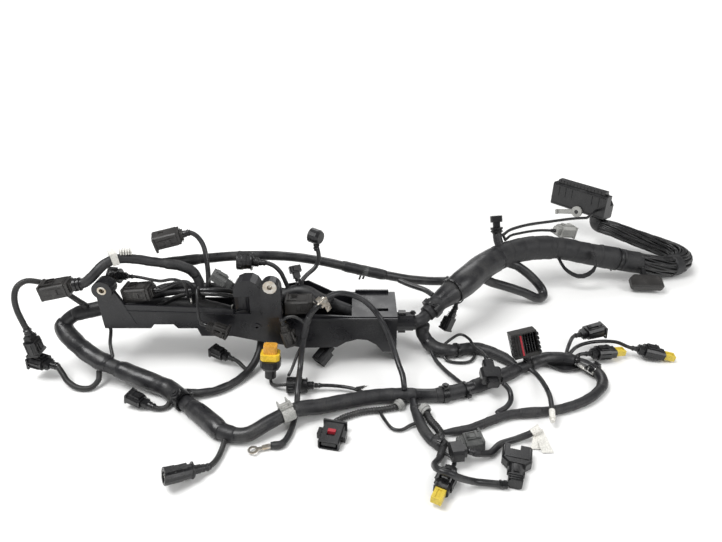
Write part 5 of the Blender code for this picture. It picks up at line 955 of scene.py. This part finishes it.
# Trunk clips, a band with a block and a stem for the body's hole: loom, share, radius, width, roll
clipRows = {
    "trunkClipLeft": ("frontTrunk", 0.372, 0.0112, 0.010, 25),
    "trunkClipRight": ("frontTrunk", 0.848, 0.0094, 0.007, 5),
    "startClamp": ("mainTrunk", 0.030, 0.0132, 0.009, 25),
    "neckClamp": ("outlet", 0.62, 0.0092, 0.006, 10),
    "rightClip": ("rightBundle", 0.30, 0.0078, 0.008, 60),
}
clipLook = {
    "sunk": 0.0003, "band": 0.0014, "block": 0.0042, "blockShare": 0.8, "sideShare": 0.42,
    "stem": 0.0028, "stemFoot": 0.003, "stemTop": 0.0072, "collar": 0.0046, "collarFoot": 0.0040,
    "collarTop": 0.0052, "tabShare": 0.86, "tab": 0.0034, "tabHalf": 0.0022,
}
for name, (loom, share, radius, width, roll) in clipRows.items():
    shape = bmesh.new()
    half, side = width / 2, radius * clipLook["sideShare"]
    block, tabHalf = half * clipLook["blockShare"], clipLook["tabHalf"]
    ringShape(shape, radius - clipLook["sunk"], radius + clipLook["band"], -half, half)
    boxShape(shape, (-block, -side, radius), (block, side, radius + clipLook["block"]), 0.0005)
    for rod in ("stem", "collar"):
        foot, top = radius + clipLook[rod + "Foot"], radius + clipLook[rod + "Top"]
        rodShape(shape, clipLook[rod], (0, 0, foot), (0, 0, top))
    tabLow, tabHigh = radius * clipLook["tabShare"], radius + clipLook["tab"]
    boxShape(shape, (-half, tabLow, -tabHalf), (half, tabHigh, tabHalf), 0.0004)
    addHardPiece(name, shape, frameAt(*placeOn(loom, share), roll), "black_plastic")

# Push button on the front trunk's left clip
clipButton = {
    "loom": "frontTrunk", "share": 0.372, "roll": 25, "finish": "black_plastic",
    "rods": [(0.0066, (0, 0, 0.0172), (0, 0, 0.0192), 24), (0.0050, (0, 0, 0.0190), (0, 0, 0.0206), 24),
             (0.0024, (0, 0, 0.0204), (0, 0, 0.0222), 16)],
}
addFitting("clipButton", clipButton)

# Lip along the channel's front wall, in short straight pieces: start and end X, start and end height
channelLip = {"front": 0.5890, "back": 0.5902, "drop": 0.0048, "height": 0.0014, "pieces": 6}
lipRows = [(-0.300, -0.205, 0.0915, 0.0885), (-0.2, -0.160, 0.0885, 0.0860), (-0.060, 0.044, 0.0795, 0.0780)]
levelMiddle = Vector((benchMiddle.x, benchMiddle.y, 0.0))
shape = bmesh.new()
for startX, endX, startZ, endZ in lipRows:
    for number in range(channelLip["pieces"]):
        first, last = number / channelLip["pieces"], (number + 1) / channelLip["pieces"]
        level = startZ + (endZ - startZ) * last - channelLip["drop"]
        low = Vector((startX + (endX - startX) * first, channelLip["front"], level))
        high = Vector((startX + (endX - startX) * last, channelLip["back"], level + channelLip["height"]))
        boxShape(shape, low - levelMiddle, high - levelMiddle, 0.0002)
addHardPiece("channelLip", shape, Matrix.Identity(4), "channel_plastic")

# Pale two-part clip round the front trunk, with its raised tabs
paleTrunkClip = {
    "loom": "frontTrunk", "share": 0.585, "roll": -12, "finish": "light_grey_plastic",
    "rings": [(0.0090, 0.0106, -0.0070, 0.0070)],
    "boxes": [
        ((-0.0074, -0.0118, -0.0040), (0.0074, -0.0098, 0.0056)),
        ((-0.0078, -0.0068, 0.0098), (0.0078, 0.0052, 0.0116)),
        ((-0.0078, -0.0068, 0.0114), (-0.0064, 0.0052, 0.0168), 0.0003),
        ((0.0030, -0.0068, 0.0114), (0.0044, 0.0052, 0.0178), 0.0003),
        ((-0.0066, -0.0068, 0.0150), (0.0034, -0.0056, 0.0168), 0.0003),
    ],
}
addFitting("paleTrunkClip", paleTrunkClip)

# Clip with two hanging tabs on the rear conduit
conduitClip = {
    "loom": "rearConduit", "share": 0.40, "roll": 0, "finish": "grey_plastic",
    "rings": [(0.0069, 0.0080, -0.004, 0.004)],
    "boxes": [
        ((-0.0040, -0.0030, -0.0150), (-0.0012, -0.0012, -0.0070), 0.0003),
        ((0.0012, -0.0030, -0.0170), (0.0040, -0.0012, -0.0070), 0.0003),
    ],
}
addFitting("conduitClip", conduitClip)

# Folded sheet-metal bracket on the ground lead's arch
archBracket = {
    "loom": "groundLead", "share": 0.535, "roll": 0, "finish": "plated_steel",
    "rings": [(0.0037, 0.0046, -0.0050, 0.0050)],
    "boxes": [
        ((-0.0060, -0.0066, -0.0034), (0.0060, -0.0052, 0.0070), 0.0003),
        ((-0.0020, -0.0064, -0.0150), (0.0062, -0.0052, -0.0030), 0.0003),
        ((-0.0085, -0.0056, 0.0040), (0.0020, 0.0050, 0.0054), 0.0003),
    ],
    "rods": [(0.0022, (0.0022, -0.0074, -0.0090), (0.0022, -0.0046, -0.0090))],
}
addFitting("archBracket", archBracket)

# Metal bracket beside the opened sleeve on the right
sleeveBracket = {
    "loom": "rightBundle", "share": 0.285, "roll": -12, "finish": "bare_tin", "slot": "plated_steel",
    "rings": [(0.0076, 0.0086, 0.0064, 0.0096)],
    "boxes": [
        ((-0.0150, -0.0150, -0.0006), (0.0120, -0.0050, 0.0008), 0.0003),
        ((-0.0150, -0.0060, -0.0006), (-0.0060, 0.0030, 0.0008), 0.0003),
        ((0.0030, -0.0150, 0.0006), (0.0050, -0.0050, 0.0066), 0.0003),
        ((-0.0120, -0.0130, 0.0008), (-0.0020, -0.0075, 0.0030), 0.0006),
    ],
    "rods": [(0.0020, (0.0080, -0.0100, 0.0004), (0.0080, -0.0100, 0.0026))],
}
addFitting("sleeveBracket", sleeveBracket)

# The opened sleeve's loose flap of tape under the right bundle
flapLook = {
    "share": 0.190, "length": 0.044, "reach": 0.0088, "bulge": 0.0060, "lowest": -0.0052, "thickness": 0.0009,
    "steps": 16, "strips": 7, "from": -100, "sweep": -75, "widen": 1.5, "ripple": 0.0006,
}
shape = bmesh.new()
loops = []
for step in range(flapLook["steps"] + 1):
    share = step / flapLook["steps"]
    swell = math.sin(math.pi * share)
    upper, under = [], []
    for turn in range(flapLook["strips"] + 1):
        angle = math.radians(flapLook["from"] + flapLook["sweep"] * turn / flapLook["strips"])
        reach = flapLook["reach"] + swell * flapLook["bulge"] * turn / flapLook["strips"]
        along, across = (share - 0.5) * flapLook["length"], flapLook["widen"] * reach * math.cos(angle)
        ripple = flapLook["ripple"] * math.sin(9.0 * share + turn)
        level = max(reach * math.sin(angle), flapLook["lowest"]) + ripple
        upper.append(shape.verts.new((along, across, level)))
        under.append(shape.verts.new((along, across, level - flapLook["thickness"])))
    loops.append(upper + under[::-1])
skinLoops(shape, loops)
addHardPiece("sleeveFlap", shape, frameAt(*placeOn("rightBundle", flapLook["share"]), 0), "sleeve")

# Bare ends of cut wires on the inline plug's lead
cutEnds = {"share": 0.30, "count": 4, "length": 0.013, "spread": 0.0022, "rise": 0.0012, "radius": 0.0009}
cutPlace = frameAt(*placeOn("inline", cutEnds["share"]), 0)
leans = [(number - 1.5) * cutEnds["spread"] for number in range(cutEnds["count"])]
shape = bmesh.new()
for number, lean in enumerate(leans):
    rise = 0.0050 + cutEnds["rise"] * number
    rodShape(shape, cutEnds["radius"], (0.0, lean * 0.5, 0.0018),
             (-cutEnds["length"] * 0.8, lean * 1.6, rise), 10)
addHardPiece("cutWireEnds", shape, cutPlace, "black_plastic")
shape = bmesh.new()
for number, lean in enumerate(leans):
    rodShape(shape, 0.0005, (-cutEnds["length"] * 0.78, lean * 1.57, 0.0049 + 0.0012 * number),
             (-cutEnds["length"] * 1.1, lean * 2.0, 0.0062 + 0.0014 * number), 8)
addHardPiece("bareStrands", shape, cutPlace, "bare_tin")

# Pale tip on the cut lead
cutLeadTip = {
    "loom": "cut", "share": 1.0, "roll": 0, "finish": "white_plastic",
    "rods": [(0.0035, (-0.0115, 0, 0), (0.0012, 0, 0), 20), (0.0027, (0.0010, 0, 0), (0.0050, 0, 0), 20)],
}
addFitting("cutLeadTip", cutLeadTip)

# Pale paper tape round the block lead's end, with two tails hanging to the floor
paleWrap = {
    "loom": "blockLead", "share": 1.0, "roll": 0, "finish": "white_plastic",
    "rings": [(0.0036, 0.0046, -0.0100, 0.0012)],
}
addFitting("paleWrap", paleWrap)
paleTail = {"half": 0.0050, "widen": 0.3, "thickness": 0.0004, "fall": 0.7, "drop": 0.0040, "lowest": 0.0014,
            "ripple": 0.0012, "steps": 9, "tails": ((0.0050, 0.024), (-0.0070, 0.019))}
flagEnd = placeOn("blockLead", 1.0)[0]
for number, (lean, length) in enumerate(paleTail["tails"]):
    shape = bmesh.new()
    rows = []
    thick = paleTail["thickness"]
    for step in range(paleTail["steps"] + 1):
        share = step / paleTail["steps"]
        height = (flagEnd.z - paleTail["drop"]) * (1 - share ** paleTail["fall"]) + paleTail["lowest"]
        along = -length * share + paleTail["ripple"] * math.sin(share * 7.0 + number)
        half = paleTail["half"] * (1 + paleTail["widen"] * share)
        rows.append([shape.verts.new((lean * share + side * half, along + lift, height - flagEnd.z + lift))
                     for side, lift in ((-1, 0.0), (1, 0.0), (1, thick), (-1, thick))])
    skinLoops(shape, rows)
    addHardPiece(f"paleFlag{number + 1}", shape, Matrix.Translation(flagEnd), "white_plastic")

# Teeth of the white edge clip on the first coil's lead, where the lead passes nearest to the clip
clipTeeth = {"near": "-0.305,0.62,0.15", "count": 5, "first": -0.0100, "pitch": 0.0030, "half": 0.0009}
clipTarget = routeStops(clipTeeth["near"])[0]
shares = [number / 200 for number in range(201)]
clipShare = min(shares, key=lambda share: (placeOn("coil1", share)[0] - clipTarget).length)
shape = bmesh.new()
for number in range(clipTeeth["count"]):
    along, half = clipTeeth["first"] + clipTeeth["pitch"] * number, clipTeeth["half"]
    boxShape(shape, (along - half, -0.0088, 0.0066), (along + half, 0.0044, 0.0112), 0.0002)
    boxShape(shape, (along - half, -0.0100, -0.0030), (along + half, -0.0076, 0.0106), 0.0002)
boxShape(shape, (-0.0115, -0.0088, 0.0056), (0.0035, -0.0062, 0.0076), 0.0002)
addHardPiece("clipTeeth", shape, frameAt(*placeOn("coil1", clipShare)), "white_plastic")

# More taped leads lying in the trough behind the plugs
troughRows = [
    (0.0095, "tape", "-0.300,0.630,0.084;-0.262,0.6405,0.095;-0.220,0.636,0.098;"
                     "-0.178,0.640,0.094;-0.150,0.636,0.087"),
    (0.0080, "sleeve", "-0.292,0.636,0.080;-0.248,0.628,0.0935;-0.208,0.6255,0.0975;"
                       "-0.170,0.630,0.093;-0.146,0.628,0.086"),
    (0.0060, "wire", "-0.268,0.610,0.082;-0.236,0.618,0.0945;-0.196,0.6145,0.0985;"
                     "-0.164,0.618,0.092;-0.150,0.620,0.084"),
]
for number, (size, style, route) in enumerate(troughRows):
    points = smoothRoute(route)
    values = loomValues(style, size / 2, size / 2, lengthOf(points), 60.0 + number)
    finishedPiece(f"troughLead{number + 1}", loomMesh("troughLead", points, values))

# Yellow-green seal and pale tags among the leads over the channel
limeSeal = {
    "loom": "grey", "share": 0.72, "roll": 15, "finish": "yellow_plastic",
    "boxes": [((-0.0055, -0.0045, -0.0045), (0.0055, 0.0045, 0.0045), 0.0010)],
}
addFitting("limeSeal", limeSeal)
paleTag = {
    "roll": 0, "finish": "white_plastic",
    "boxes": [((-0.0040, -0.0048, -0.0030), (0.0040, -0.0030, 0.0030), 0.0004)],
}
for name, loom, share in (("paleTagLeft", "coil3", 0.10), ("paleTagRight", "grey", 0.16)):
    addFitting(name, {**paleTag, "loom": loom, "share": share})

# Grey connector bits where two leads leave their looms: name, loom, share, radius of the lead
collarRows = [("throttleCollar", "throttle", 0.16, 0.0046), ("corrugatedCollar", "corrugated", 0.20, 0.0054)]
for name, loom, share, radius in collarRows:
    inner = radius - 0.0004
    rings = [(inner, radius + 0.0013, -0.0045, 0.0045), (inner, radius + 0.0022, -0.0012, 0.0012)]
    collar = {"loom": loom, "share": share, "roll": 0, "finish": "pale_rubber", "slot": "grey_plastic"}
    addFitting(name, {**collar, "rings": rings})
print("clips, ties and brackets made")


# Wire seals where each lead enters its plug: way back from the plug, radius as a share of the lead's
sealSteps = [(0.0, 1.42), (0.0030, 1.42), (0.0038, 1.22), (0.0052, 1.22), (0.0060, 1.42), (0.0074, 1.42),
             (0.0082, 1.12), (0.0100, 1.04)]
sealLook = {"sides": 20, "widest": 1.42, "clearance": 0.0002, "squeeze": 0.86}
sealTurns = [2 * math.pi * side / sealLook["sides"] for side in range(sealLook["sides"])]
unsealed = ("groundLead", "valveLead", "pressureLead")  # leads without a seal of their own
for name, row in cordRows.items():
    if not row.plug or name in unsealed:
        continue
    end, ahead = placeOn(name, 1.0)
    size = row.endDiameter / 2
    shape = bmesh.new()
    rings = []
    for back, factor in sealSteps:
        around = [(size * factor * math.cos(turn), size * factor * math.sin(turn)) for turn in sealTurns]
        rings.append([shape.verts.new((-back, across, rise)) for across, rise in around])
    skinLoops(shape, rings)
    if end.z - size * sealLook["widest"] < sealLook["clearance"]:
        squeeze = (1.0, sealLook["squeeze"], sealLook["squeeze"])
        bmesh.ops.scale(shape, vec=squeeze, verts=shape.verts)
    addHardPiece(f"seal_{name}", shape, frameAt(end, ahead), "black_plastic")
print("seals made")

# Housings of the plugs: length, width and height, and the moulded detail that they carry
plugSizes = {
    "coil": (0.030, 0.024, 0.018, "coil"), "injector": (0.026, 0.0185, 0.0150, "latch"),
    "yellowLock": (0.026, 0.0185, 0.0150, "locked"), "probe": (0.020, 0.020, 0.0145, "latch"),
    "sensor": (0.020, 0.015, 0.012, "latch"), "pair": (0.030, 0.022, 0.020, "latch"),
    "smallRound": (0.015, 0.018, 0.018, "round"), "largeRound": (0.020, 0.022, 0.022, "round"),
    "inline": (0.026, 0.018, 0.018, "round"), "crank": (0.030, 0.0165, 0.0165, "round"),
}
# Lead, plug, housing and roll
plugRows = [
    ("coil1", "coil_plug_1", "coil", 0), ("coil2", "coil_plug_2", "coil", 0),
    ("coil3", "coil_plug_3", "coil", 0), ("coil4", "coil_plug_4", "coil", 0),
    ("link", "probe_plug_upper", "probe", 90), ("probe", "probe_plug_lower", "probe", 0),
    ("knock", "knock_plug", "sensor", 0), ("oil", "oil_plug", "sensor", 0),
    ("coolant", "coolant_plug", "sensor", 90), ("cam", "cam_plug", "sensor", 90),
    ("hanging", "hanging_plug", "sensor", 90), ("grey", "grey_plug", "sensor", 0),
    ("greySmall", "grey_small_plug", "probe", 0), ("greyPair", "grey_pair_plug", "pair", 0),
    ("injector1", "injector_plug_1", "injector", 0), ("injector2", "injector_plug_2", "yellowLock", 0),
    ("injector3", "injector_plug_3", "yellowLock", 0), ("lockWire", "injector_plug_4", "yellowLock", 0),
    ("round1", "round_plug_left", "smallRound", 0), ("round2", "round_plug_middle", "largeRound", 0),
    ("inline", "inline_plug", "inline", 0), ("crank", "crank_plug", "crank", 0),
]
bootLength = 0.008
plugGap = 0.0003  # the plug starts this far past its lead


def sidePair(shape, inner, outer, start, stop, low, high, bevel):
    # one box on either side, from an inner to an outer distance
    for side in (-1, 1):
        near, far = side * inner, side * outer
        boxShape(shape, (start, min(near, far), low), (stop, max(near, far), high), bevel)


def bootRibs(shape, width, height):
    ribs = {"starts": (0.0014, 0.0036, 0.0058), "length": 0.0011, "share": 0.31, "proud": 0.0006}
    half, rise = width * ribs["share"] + ribs["proud"], height * ribs["share"] + ribs["proud"]
    for start in ribs["starts"]:
        boxShape(shape, (start, -half, -rise), (start + ribs["length"], half, rise), 0.0003)


def frontRim(shape, end, width, height):
    half, rise = width / 2, height / 2
    start, stop = end - 0.0024, end + 0.0002
    for low, high in ((-rise - 0.0006, -rise + 0.0004), (rise - 0.0004, rise + 0.0006)):
        boxShape(shape, (start, -half - 0.0005, low), (stop, half + 0.0005, high), 0.0002)
    for low, high in ((-half - 0.0006, -half + 0.0004), (half - 0.0004, half + 0.0006)):
        boxShape(shape, (start, low, -rise - 0.0004), (stop, high, rise + 0.0004), 0.0002)


def sideRails(shape, start, stop, width, height):
    for level in (-0.22 * height, 0.22 * height):
        sidePair(shape, width / 2 - 0.0003, width / 2 + 0.0008, start, stop, level - 0.0006, level + 0.0006,
                 0.0003)


def latchTrim(shape, length, height):
    # two guide walls, the catch, the thumb pad and its three grip lines
    top = height / 2
    guide = {"across": 0.0046, "half": 0.0006, "sunk": 0.0003, "proud": 0.0022}
    guideStart, guideStop = bootLength + length * 0.12, bootLength + length * 0.88
    for side in (-guide["across"], guide["across"]):
        boxShape(shape, (guideStart, side - guide["half"], top - guide["sunk"]),
                 (guideStop, side + guide["half"], top + guide["proud"]), 0.0003)
    catchStart, catchStop = bootLength + length * 0.60, bootLength + length * 0.74
    boxShape(shape, (catchStart, -0.0052, top + 0.0016), (catchStop, 0.0052, top + 0.0032), 0.0004)
    padStart, padStop = bootLength + length * 0.10, bootLength + length * 0.25
    boxShape(shape, (padStart, -0.0031, top + 0.0018), (padStop, 0.0031, top + 0.0037), 0.0004)
    for step in range(3):
        start = bootLength + length * (0.12 + 0.04 * step)
        boxShape(shape, (start, -0.0028, top + 0.0036), (start + 0.0004, 0.0028, top + 0.0041), 0.0001)


def coilTrim(shape, length, width, height):
    # a raised border on the flat top, the latch with its bar, side catches and boot ribs
    top, start = height / 2, bootLength + length * 0.06
    border = {"half": 0.0085, "line": 0.0006, "length": 0.0125, "sunk": 0.0002, "proud": 0.0004}
    low, high = top - border["sunk"], top + border["proud"]
    for edge in (-border["half"], border["half"] - border["line"]):
        boxShape(shape, (start, edge, low), (start + border["length"], edge + border["line"], high), 0.0001)
    for place in (start, start + border["length"] - border["line"]):
        boxShape(shape, (place, -border["half"], low), (place + border["line"], border["half"], high), 0.0001)
    latchStart, latchStop = bootLength + length * 0.50, bootLength + length * 0.92
    for side in (-0.0070, 0.0070):
        boxShape(shape, (latchStart, side - 0.0008, top - 0.0003), (latchStop, side + 0.0008, top + 0.0014),
                 0.0003)
    barStart, barStop = bootLength + length * 0.78, bootLength + length * 0.88
    boxShape(shape, (barStart, -0.0070, top + 0.0002), (barStop, 0.0070, top + 0.0013), 0.0003)
    catchStart, catchStop = bootLength + length * 0.30, bootLength + length * 0.52
    sidePair(shape, width / 2 - 0.0004, width / 2 + 0.0012, catchStart, catchStop, -0.0045, 0.0045, 0.0004)
    half, rise = width * 0.37, height * 0.37
    for step in range(4):
        place = bootLength - 0.0062 + 0.0018 * step
        boxShape(shape, (place, -half, -rise), (place + 0.0009, half, rise), 0.0003)


def roundTrim(shape, length, diameter):
    # bands round the housing, grip ribs along its front third and rings on the boot
    size, end = diameter / 2, bootLength + length
    grip = end - length * 0.36
    for start, stop in ((end - 0.0016, end + 0.0001), (grip, grip + 0.0010),
                        (bootLength + 0.0006, bootLength + 0.0020)):
        ringShape(shape, size - 0.0012, size + 0.0007, start, stop)
    ribs = 14
    for number in range(ribs):
        angle = 2 * math.pi * (number + 0.5) / ribs
        across, rise = size * math.cos(angle), size * math.sin(angle)
        rodShape(shape, 0.0006, (end - length * 0.34, across, rise), (end - 0.0018, across, rise), 6)
    for start in (0.0012, 0.0034, 0.0056):
        ringShape(shape, size * 0.45, size * 0.5 + 0.0007, start, start + 0.0011)


def pinRow(shape, end, width):
    # blades in the mouth, just clear of the terminal block
    count = 2 if width < 0.017 else 3
    pitch = width * 0.20
    for number in range(count):
        across = (number - (count - 1) / 2) * pitch
        boxShape(shape, (end - 0.0015, across - 0.0005, -0.0009), (end - 0.0004, across + 0.0005, 0.0009),
                 0.0001)


for lead, plug, housing, roll in plugRows:
    length, width, height, kind = plugSizes[housing]
    place = frameAt(*placeOn(lead, 1.0), roll) @ Matrix.Translation((plugGap, 0.0, 0.0))
    end = bootLength + length
    locked = kind == "locked"
    shape = bmesh.new()
    if kind == "round":
        roundTrim(shape, length, width)
    else:
        if kind == "coil":
            coilTrim(shape, length, width, height)
        else:
            bootRibs(shape, width, height)
            latchTrim(shape, length * (0.8 if locked else 1.0), height)
        if not locked:
            frontRim(shape, end, width, height)
        railStop = bootLength + length * (0.62 if locked else 0.84)
        sideRails(shape, bootLength + length * 0.12, railStop, width, height)
    addHardPiece(f"trim_{plug}", shape, place, finishOf(plug))
    if not locked:
        shape = bmesh.new()
        pinRow(shape, end, width)
        addHardPiece(f"pins_{plug}", shape, place, "bare_tin")

# Thin walls inside the header's mouth, and its terminals
headerPlug = {
    "place": "0.2185,0.5830,0.0235", "tilt": -18, "face": -104, "turn": 90, "teeth": 5, "pitch": 0.0061,
}
headerPlace = Matrix.Translation(routeStops(headerPlug["place"])[0])
for angle, axis in ((headerPlug["tilt"], "X"), (headerPlug["face"], "Y"), (headerPlug["turn"], "X")):
    headerPlace = headerPlace @ Matrix.Rotation(math.radians(angle), 4, axis)
shape = bmesh.new()
for across in (-0.0118, -0.0082, -0.0046, -0.0010):
    boxShape(shape, (0.0052, across - 0.0005, -0.0032), (0.0318, across + 0.0005, 0.0078), 0.0002)
for along in (0.0118, 0.0184, 0.0250):
    boxShape(shape, (along, -0.0148, -0.0032), (along + 0.0008, 0.0018, 0.0036), 0.0002)
for across in (0.0086, 0.0122):
    boxShape(shape, (0.0040, across, 0.0086), (0.0320, across + 0.0010, 0.0112), 0.0002)
for side in (-0.0176, 0.0170):
    boxShape(shape, (0.0100, side, -0.0040), (0.0240, side + 0.0006, 0.0060), 0.0002)
for number in range(headerPlug["teeth"]):
    along = 0.0030 + headerPlug["pitch"] * number
    boxShape(shape, (along, -0.0184, 0.0040), (along + 0.0036, -0.0150, 0.0118), 0.0004)
    boxShape(shape, (along, 0.0142, 0.0060), (along + 0.0030, 0.0176, 0.0106), 0.0004)
addHardPiece("headerWalls", shape, headerPlace, "black_plastic")
headerPins = {
    "across": (-0.0136, -0.0100, -0.0064, -0.0028), "along": (0.0085, 0.0150, 0.0216, 0.0285), "half": 0.0004,
}
shape = bmesh.new()
for across in headerPins["across"]:
    for along in headerPins["along"]:
        half = headerPins["half"]
        boxShape(shape, (along - half, across - half, -0.0032), (along + half, across + half, 0.0024), 0.0001)
addHardPiece("headerPins", shape, headerPlace, "bare_tin")

# Ribs, side catches and a raised border on the wide notched plug
mapPlug = {"place": "0.1566,0.3865,0.0068", "ahead": (0.30, 1.0, 0.0), "ribs": (0.0020, 0.0050, 0.0080)}
mapPlugPlace = frameAt(routeStops(mapPlug["place"])[0], Vector(mapPlug["ahead"]).normalized())
shape = bmesh.new()
for start in mapPlug["ribs"]:
    boxShape(shape, (start, -0.0074, -0.0058), (start + 0.0013, 0.0074, 0.0061), 0.0003)
sidePair(shape, 0.0064, 0.0090, 0.0130, 0.0200, -0.0030, 0.0034, 0.0004)
sidePair(shape, 0.0128, 0.0146, 0.0320, 0.0470, 0.0060, 0.0070, 0.0003)
boxShape(shape, (0.0305, -0.0120, 0.0060), (0.0318, 0.0120, 0.0070), 0.0003)
boxShape(shape, (0.0120, -0.0030, 0.0052), (0.0230, 0.0030, 0.0066), 0.0004)
addHardPiece("mapPlugRibs", shape, mapPlugPlace, "black_plastic")

# Ribs and grips on the control plug's front face and ridge
controlLook = {
    "place": "0.4373,1.0166,0.0820", "turn": -53, "length": 0.118, "depth": 0.028, "height": 0.046,
    "ribs": 7, "ribPitch": 0.0145, "grips": 13, "gripPitch": 0.0074, "leverAt": 0.004, "leverClear": 0.016,
}
controlPlace = Matrix.Translation(routeStops(controlLook["place"])[0])
controlPlace = controlPlace @ Matrix.Rotation(math.radians(controlLook["turn"]), 4, "Z")
front, half, rise = -controlLook["depth"] / 2, controlLook["length"] / 2, controlLook["height"] / 2
shape = bmesh.new()
for level in (-rise + 0.0030, rise - 0.0050):
    boxShape(shape, (-half + 0.004, front - 0.0012, level), (half - 0.004, front + 0.0006, level + 0.0018),
             0.0003)
for number in range(controlLook["ribs"]):
    along = -half + 0.014 + controlLook["ribPitch"] * number
    if abs(along - controlLook["leverAt"]) < controlLook["leverClear"]:
        continue  # the lever's boss stands here
    boxShape(shape, (along, front - 0.0009, -0.0015), (along + 0.0016, front + 0.0006, rise - 0.0050), 0.0003)
for number in range(controlLook["grips"]):
    along = -half + 0.012 + controlLook["gripPitch"] * number
    boxShape(shape, (along, front + 0.0032, rise + 0.0008), (along + 0.0014, front + 0.0046, rise + 0.0066),
             0.0003)
addHardPiece("controlRibs", shape, controlPlace, "black_plastic")
print("plug trims made:", len(plugRows))

# Floor and lights
studio = {
    "floorColour": 0.80, "floorHalf": 60, "floorLevel": -0.0006, "sky": 0.62, "reflected": 0.22,
    "key": 34.0, "fill": 15.0, "back": 12.0, "glowStart": 0.45, "glowEnd": 1.9, "glow": 0.62,
}
floorMaterial, tree, shader = newMaterial("floorPale", 0.9)
pale = studio["floorColour"]
shader.inputs["Base Color"].default_value = (pale, pale, pale * 0.99, 1.0)
# far from the harness the floor glows, so that it stays as white as the photograph's backdrop
floorPlace = addNode(tree, "ShaderNodeTexCoord").outputs["Object"]
floorReach = addNode(tree, "ShaderNodeVectorMath", operation="LENGTH")
tree.links.new(floorPlace, floorReach.inputs[0])
floorGlow = addNode(tree, "ShaderNodeMapRange", interpolation_type="SMOOTHSTEP")
tree.links.new(floorReach.outputs["Value"], floorGlow.inputs["Value"])
glowRange = {
    "From Min": studio["glowStart"], "From Max": studio["glowEnd"], "To Min": 0.0, "To Max": studio["glow"],
}
for key, value in glowRange.items():
    floorGlow.inputs[key].default_value = value
shader.inputs["Emission Color"].default_value = (1.0, 1.0, 1.0, 1.0)
tree.links.new(floorGlow.outputs["Result"], shader.inputs["Emission Strength"])
floorMesh = bpy.data.meshes.new("floor")
floorSigns = ((-1, -1), (1, -1), (1, 1), (-1, 1))
reach = studio["floorHalf"]
floorCorners = [(x * reach, y * reach, studio["floorLevel"]) for x, y in floorSigns]
floorMesh.from_pydata(floorCorners, [], [(0, 1, 2, 3)])
floorMesh.materials.append(floorMaterial)
floor = bpy.data.objects.new("floor", floorMesh)
bpy.context.scene.collection.objects.link(floor)

world = bpy.data.worlds.new("studio")
world.use_nodes = True
bpy.context.scene.world = world
sky = world.node_tree
background = sky.nodes["Background"]
background.inputs["Color"].default_value = (1.0, 1.0, 1.0, 1.0)
rays = addNode(sky, "ShaderNodeLightPath")
seen = linkMath(sky, "MULTIPLY_ADD", rays.outputs["Is Camera Ray"], 1.0 - studio["sky"], studio["sky"])
dimmer = studio["reflected"] - studio["sky"]
strength = linkMath(sky, "MULTIPLY_ADD", rays.outputs["Is Glossy Ray"], dimmer, seen)
sky.links.new(strength, background.inputs["Strength"])


def addLamp(name, place, aim, size, power):
    lamp = bpy.data.lights.new(name, "AREA")
    lamp.shape = "DISK"
    lamp.size = size
    lamp.energy = power
    holder = bpy.data.objects.new(name, lamp)
    holder.location = place
    holder.rotation_euler = (Vector(aim) - Vector(place)).to_track_quat("-Z", "Y").to_euler()
    bpy.context.scene.collection.objects.link(holder)


addLamp("keyLamp", (-0.9, -0.5, 1.8), (0.0, 0.0, 0.0), 1.1, studio["key"])
addLamp("fillLamp", (1.4, -1.0, 1.4), (0.1, 0.0, 0.0), 1.3, studio["fill"])
addLamp("backLamp", (0.3, 1.7, 1.5), (0.0, 0.0, 0.05), 1.2, studio["back"])
bpy.context.scene.view_settings.view_transform = "Standard"
